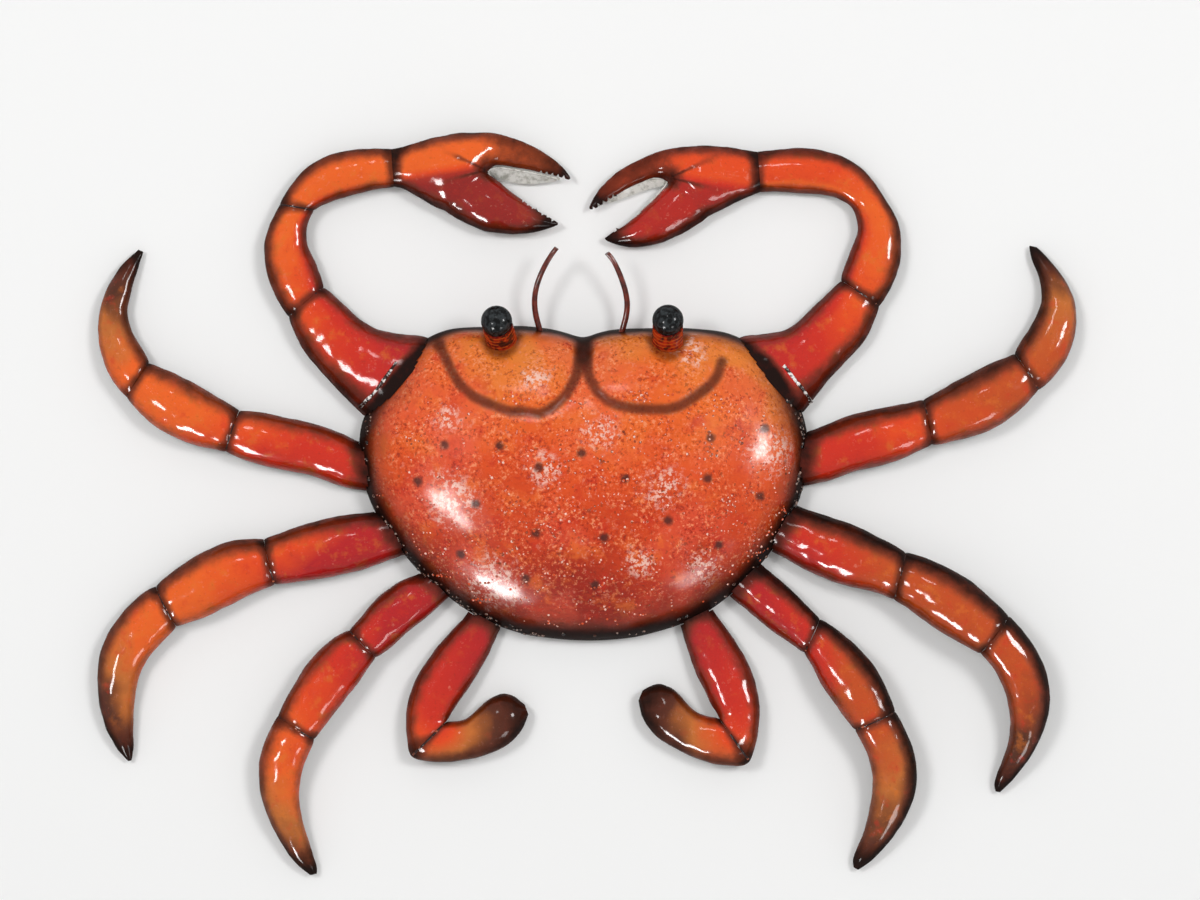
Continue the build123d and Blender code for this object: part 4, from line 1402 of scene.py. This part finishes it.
def nearest_mark(tree, flat, marks):
    """The distance to the nearest of (x, y, reach) marks, counted in its reach."""
    nearest = None
    for x, y, reach in marks:
        gap = add_node(tree, "VectorMath", {0: flat, 1: spot(x, y)}, operation="DISTANCE")
        gap = maths(tree, "DIVIDE", gap.outputs["Value"], reach * PX)
        nearest = gap if nearest is None else maths(tree, "MINIMUM", nearest, gap)
    return nearest


def shell_enamel():
    """The finish of the shell: its colour, pale patches of rubbed paint and painted highlight, dots, flecks
    and black.
    """
    material, tree, shader, place = new_paint("carapace_enamel", 14)
    here = add_node(tree, "TexCoord").outputs["Object"]
    flat = add_node(tree, "VectorMath", {0: here, 1: (1, 0, 1)}, operation="MULTIPLY").outputs[0]
    patch = speckle(tree, place, 60, 5, 0.62)
    wear = speckle(tree, place, 150, 6, 0.75)
    tint = shell_colour(tree, place, flat, patch, wear)
    # Near-white patches round the listed points: partly rubbed paint, partly painted highlights.
    from_rub_and_highlight = maths(tree, "ADD", nearest_mark(tree, flat, SHELL_RUBS_AND_HIGHLIGHTS), swing(tree, wear, 2.4))
    broken_pale = spread(tree, speckle(tree, place, 380, 4, 0.7), 0.48, 0.56, 0, 0.85)
    rub_and_highlight = maths(tree, "MULTIPLY", spread(tree, from_rub_and_highlight, 0.2, 1.0, 1, 0), broken_pale)
    tint = blend_colours(tree, rub_and_highlight, tint, paint(250, 208, 192))
    marks = [(x, y, DOT_RADIUS / PX) for x, y in SHELL_DOTS]
    wobble = swing(tree, speckle(tree, place, 500, 2), DOT_WOBBLE / DOT_RADIUS)
    from_dot = maths(tree, "ADD", nearest_mark(tree, flat, marks), wobble)
    tint = blend_colours(tree, spread(tree, from_dot, 0.55, 1.9, 0.86, 0), tint, paint(52, 22, 16))
    tint = flecks(tree, tint, place, 330, 0.42)
    dark = maths(tree, "ADD", attribute(tree, "dark"), swing(tree, patch, 0.5))
    gloss(tree, shader, place, airbrushed(tree, tint, dark), 2.6 * MM, dark, 0.2)
    return material


set_marks(shell, "half", [FULL_HALF] * len(shell.data.vertices))
give_gauge(shell, shell_enamel())
hand_over(shell, "carapace_enamel", "carapace")
print("carapace faces:", len(shell.data.polygons))

# %% [markdown]
# ## Spatter and weld beads
# Welding leaves beads: a crowd of tiny ones thrown over the shell, often in short curved
# strings, and a rope of larger ones where the limbs are joined to the rim. One bead is made
# from a small ball, pressed flat, and copied to each place, turned to the surface there.

# %% One bead, copied
def bead_shape():
    clear_selection()
    bpy.ops.mesh.primitive_ico_sphere_add(subdivisions=2, radius=1)
    bead = bpy.context.object
    bpy.ops.object.mode_set(mode="EDIT")
    bpy.ops.transform.resize(value=(1, 1, 0.8))
    bpy.ops.object.mode_set(mode="OBJECT")
    return bead


def set_beads(name, places, finish, slot):
    """Copies the bead to (point, normal, radius) places, in one mesh."""
    bead = bead_shape()
    shape, whole = bead.data, bmesh.new()
    for point, normal, radius in places:
        before = len(whole.verts)
        whole.from_mesh(shape)
        turn = normal.to_track_quat("Z", "Y").to_matrix().to_4x4()
        move = Matrix.Translation(point) @ turn @ Matrix.Scale(radius, 4)
        whole.verts.ensure_lookup_table()
        bmesh.ops.transform(whole, matrix=move, verts=whole.verts[before:])
    piece = new_piece(name)
    whole.to_mesh(piece.data)
    whole.free()
    bpy.data.objects.remove(bead)
    piece.data.materials.append(finish)
    hand_over(piece, slot)
    print(name, len(places), "beads,", len(piece.data.polygons), "faces")


def on_shell(x, y):
    """The place on the shell that shows at a pixel, and its normal."""
    hit, normal, _, _ = dome.ray_cast(spot(x, y, 1.0), -FRONT)
    if hit is None:
        return None, None
    return hit, normal if normal.y < 0 else -normal


# A near-white tint for painted highlights on the beads.
PAINTED_GLINT = paint(252, 214, 196)


def bead_paint(name, tint, seed, painted_glints):
    """Enamel over beads, with painted highlights: bright spots where they would catch the light."""
    material, tree, shader, place = new_paint(name, seed)
    patch = speckle(tree, place, 120, 3)
    tint = blend_colours(tree, spread(tree, patch, 0.4, 0.8), tint, BROWN)
    tint = layered(tree, tint, ((speckle(tree, place, 700, 1), 0.55, 0.6, painted_glints, PAINTED_GLINT),))
    gloss(tree, shader, place, tint, 0.1 * MM)
    return material


STRINGS = 520
SPATTER_RADII = (0.3 * MM, 0.8 * MM)
LINK_STEP = (2.4, 6.0)
BROW_CLEAR = 7
draw = random.Random(5)
spatter = []
for _ in range(STRINGS):
    x, y = 584 + draw.uniform(-200, 205), 490 + draw.uniform(-100, 140)
    heading, bend = draw.uniform(-0.7, 0.7) + draw.choice((0, 0, 1.4, math.pi)), draw.uniform(-0.25, 0.25)
    dense = 0.45 if y > 592 or x + y < 1010 else 0.9
    if draw.random() > dense:
        continue
    for _ in range(draw.randint(1, 6)):
        point, normal = on_shell(x, y)
        inside = math.hypot((x - 584) / 214, (y - 484) / 146) < 0.97
        if point is not None and inside and min(line_distance(x, y, path) for path in BROWS) > BROW_CLEAR:
            spatter.append((point, normal, draw.uniform(*SPATTER_RADII)))
        heading += bend
        x += math.cos(heading) * draw.uniform(*LINK_STEP)
        y += math.sin(heading) * draw.uniform(*LINK_STEP)
spatter_enamel = bead_paint("spatter_enamel", paint(222, 84, 40), 15, 0.9)
set_beads("spatter_beads", spatter, spatter_enamel, "carapace_enamel")

# %% Weld beads round the rim
RIM_BEADS = 420
RIM_RADII = (0.6 * MM, 1.35 * MM)
weld = []
for point in even_outline(RIM_BEADS):
    x, y = contour_point(point, draw.uniform(0.955, 0.993))
    lower_left, right = x < 540 and y > 520, x > 770 and 400 < y < 560
    at_arm = y < 435 and (x < 402 or x > 780)
    chance = 0.85 if lower_left or right or at_arm else 0.3 if y > 400 else 0
    if draw.random() > chance:
        continue
    place, normal = on_shell(x, y)
    if place is not None:
        weld.append((place, normal, draw.uniform(*RIM_RADII)))
rim_weld_paint = bead_paint("rim_weld_paint", paint(22, 17, 16), 25, 0.35)
set_beads("rim_weld_beads", weld, rim_weld_paint, "carapace_enamel")

# %% [markdown]
# ## Weld ropes at the arms
# Each arm is held to the shell by a heavy black weld, and the near-white streaks along it are painted
# highlights. A row of beads would look too regular there, so it is a wire, half sunk in the arm and then
# made uneven.

# %% Weld ropes where the arms meet the shell
ARM_WELDS = {
    "left_arm_shoulder": [(361, 407), (368, 401), (376, 393), (384, 383), (391, 373), (398, 363)],
    "right_arm_shoulder": [(810, 402), (806, 395), (800, 388), (794, 381), (788, 373), (782, 366)],
}
ROPE_RADIUS = 1.2 * MM
ROPE_SUNK = 0.5 * MM
ROPE_DENTS = 1.0 * MM
for node, route in ARM_WELDS.items():
    offs = [front_of([bpy.data.objects[node + "_sheet"]], x, y) for x, y in route]
    points = [spot(x, y, off - ROPE_SUNK) for (x, y), off in zip(route, offs) if off is not None]
    # The rope's near-white streaks are painted highlights.
    rope = wire(node + "_root_weld", points, ROPE_RADIUS, WELD_WITH_PAINTED_GLINT, "arm_enamel")
    hammer(rope, ROPE_DENTS)
    print(rope.name, "through", len(points), "points")

# %% [markdown]
# ## Eyes, feelers and strap
# These turned, drawn and flat parts already have their right shapes, so they keep their
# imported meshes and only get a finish: black mottled balls, ringed stalks, rusty red wire.

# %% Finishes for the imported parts
PART_BAND = (0.38, 0.64)
PART_BUMP = 0.2 * MM
RING_TURNS = 2600


def ringed_finish(name, ball, base, seed):
    """Stalk enamel, ringed along the line from the base to the ball."""
    material, tree, shader, place = new_paint(name, seed)
    way = (ball - base).normalized()
    here = add_node(tree, "TexCoord").outputs["Object"]
    level = add_node(tree, "VectorMath", {0: here, 1: way}, operation="DOT_PRODUCT").outputs["Value"]
    from_ball = maths(tree, "SUBTRACT", ball.dot(way), level)
    patch = speckle(tree, place, 320, 4, 0.65)
    wave = maths(tree, "SINE", maths(tree, "MULTIPLY", from_ball, RING_TURNS))
    rings = spread(tree, maths(tree, "ADD", wave, patch), 0.9, 1.5, 0, 0.4)
    tint = blend_colours(tree, spread(tree, patch, 0.4, 0.62), paint(178, 52, 20), paint(110, 20, 18))
    tint = blend_colours(tree, rings, tint, AMBER)
    drip = spread(tree, speckle(tree, place, 180, 3, 0.6), 0.5, 0.62, 0, 0.85)
    tint = blend_colours(tree, drip, tint, BLACK)
    gloss(tree, shader, place, tint, 0.3 * MM)
    return material


def refinish(node, material):
    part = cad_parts[node]
    part.data.materials.clear()
    part.data.materials.append(material)


eye_black = mottled(
    "eye_black", 30, paint(10, 11, 12), paint(52, 56, 58), 420, PART_BAND, PART_BUMP, coat=0.25,
)
strap_paint = mottled(
    "strap_paint", 36, paint(40, 38, 38), paint(66, 60, 56), 160, PART_BAND, PART_BUMP, coat=0.1,
)
for side, eye in EYES.items():
    low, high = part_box(side + "_eye_ball")
    base, _ = on_shell(*eye)
    antenna_paint = mottled(
        side + "_antenna_enamel", 33, paint(112, 40, 26), paint(64, 26, 20), 240, PART_BAND, PART_BUMP, 0.6,
    )
    refinish(side + "_eye_ball", eye_black)
    refinish(side + "_eye_stalk", ringed_finish(side + "_stalk_enamel", (low + high) / 2, base, 31))
    refinish(side + "_antenna", antenna_paint)
    print(side, "eye ball:", round((high - low).x / MM, 1), "mm")
refinish("hanger_strap", strap_paint)

# %% [markdown]
# ## Wall, lamps and camera
# The crab hangs flat on a pale wall. The wall could simply be left out of views from behind,
# but its back is see-through instead and lets light by, so that they show the open back of the
# crab. Two soft key lamps, left and right, throw each leg's shadow away from the lamp beside
# it. The glint lamps only show in the gloss, so they place the highlights and light nothing.

# %% The wall
WALL_GAP = 1.0 * MM
clear_selection()
bpy.ops.mesh.primitive_plane_add(size=9, location=(0, WALL_GAP, 0), rotation=(math.radians(90), 0, 0))
wall = bpy.context.object
wall.name = wall.data.name = "wall"
bpy.ops.object.transform_apply(location=True, rotation=True, scale=True)
wall_paint = bpy.data.materials.new("wall_paint")
wall_paint.use_nodes = True
tree = wall_paint.node_tree
shader = tree.nodes["Principled BSDF"]
shader.inputs["Base Color"].default_value = (0.93, 0.93, 0.925, 1)
shader.inputs["Roughness"].default_value = 0.9
shader.inputs["Specular IOR Level"].default_value = 0.1
behind = maths(
    tree, "MAXIMUM", add_node(tree, "NewGeometry").outputs["Backfacing"],
    add_node(tree, "LightPath").outputs["Is Shadow Ray"],
)
clear = add_node(tree, "BsdfTransparent").outputs[0]
both = add_node(tree, "MixShader", {0: behind, 1: shader.outputs[0], 2: clear})
tree.links.new(both.outputs[0], tree.nodes["Material Output"].inputs["Surface"])
wall.data.materials.append(wall_paint)
print("wall faces", [round(value, 1) for value in wall.data.polygons[0].normal])

# %% World and lamps
world = bpy.data.worlds.new("studio")
bpy.context.scene.world = world
world.use_nodes = True
tree = world.node_tree
path = add_node(tree, "LightPath").outputs
seen = maths(tree, "MAXIMUM", path["Is Camera Ray"], path["Is Transmission Ray"])
seen = maths(tree, "MAXIMUM", seen, path["Is Glossy Ray"])
AMBIENT = 0.53
level = maths(tree, "MULTIPLY_ADD", seen, 1 - AMBIENT)
level.node.inputs[2].default_value = AMBIENT
background = tree.nodes["Background"]
background.inputs["Color"].default_value = (0.96, 0.96, 0.96, 1)
tree.links.new(level, background.inputs["Strength"])
LAMPS = {
    "key_left": ((-1.25, -2.40, 0.62), 0.66, 21.5),
    "key_right": ((1.35, -2.40, 0.58), 0.66, 22.5),
    "behind_wall": ((0.4, 1.8, 1.0), 1.20, 22.0),
    "glint_low": ((-0.90, -1.00, -1.74), 0.46, 40.0),
    "glint_left": ((-1.16, -1.72, -0.58), 0.36, 19.0),
    "glint_right": ((1.70, -1.32, 0.24), 0.46, 30.0),
    "glint_low_right": ((1.02, -0.90, -1.46), 0.46, 8.0),
    "glint_top": ((-0.16, -1.90, 1.16), 0.24, 3.0),
}
for name, (place, size, power) in LAMPS.items():
    bpy.ops.object.light_add(type="AREA", location=place)
    lamp = bpy.context.object
    lamp.name = lamp.data.name = name
    lamp.rotation_euler = (-Vector(place)).to_track_quat("-Z", "Y").to_euler()
    lamp.data.size = size
    lamp.data.energy = power
    lamp.visible_camera = False
    lamp.visible_glossy = not name.startswith("key")
    lamp.visible_diffuse = not name.startswith("glint")
print("lamps:", len(LAMPS))

# %% Camera
PHOTO_WIDE = 1200 * PX
CAMERA_DISTANCE = 2.5
SENSOR_WIDE = 36
aim = spot(600, 450)
bpy.ops.object.camera_add(location=aim + FRONT * CAMERA_DISTANCE, rotation=(math.radians(90), 0, 0))
camera = bpy.context.object
camera.data.sensor_width = SENSOR_WIDE
camera.data.lens = SENSOR_WIDE * CAMERA_DISTANCE / PHOTO_WIDE
bpy.context.scene.camera = camera
bpy.context.scene.view_settings.view_transform = "Standard"
print("lens", round(camera.data.lens), "mm")

# %% [markdown]
# ## Last update
# The imported parts give the crab's size. At the end the view layer is updated once more.

# %% Update the view layer
bpy.context.view_layer.update()
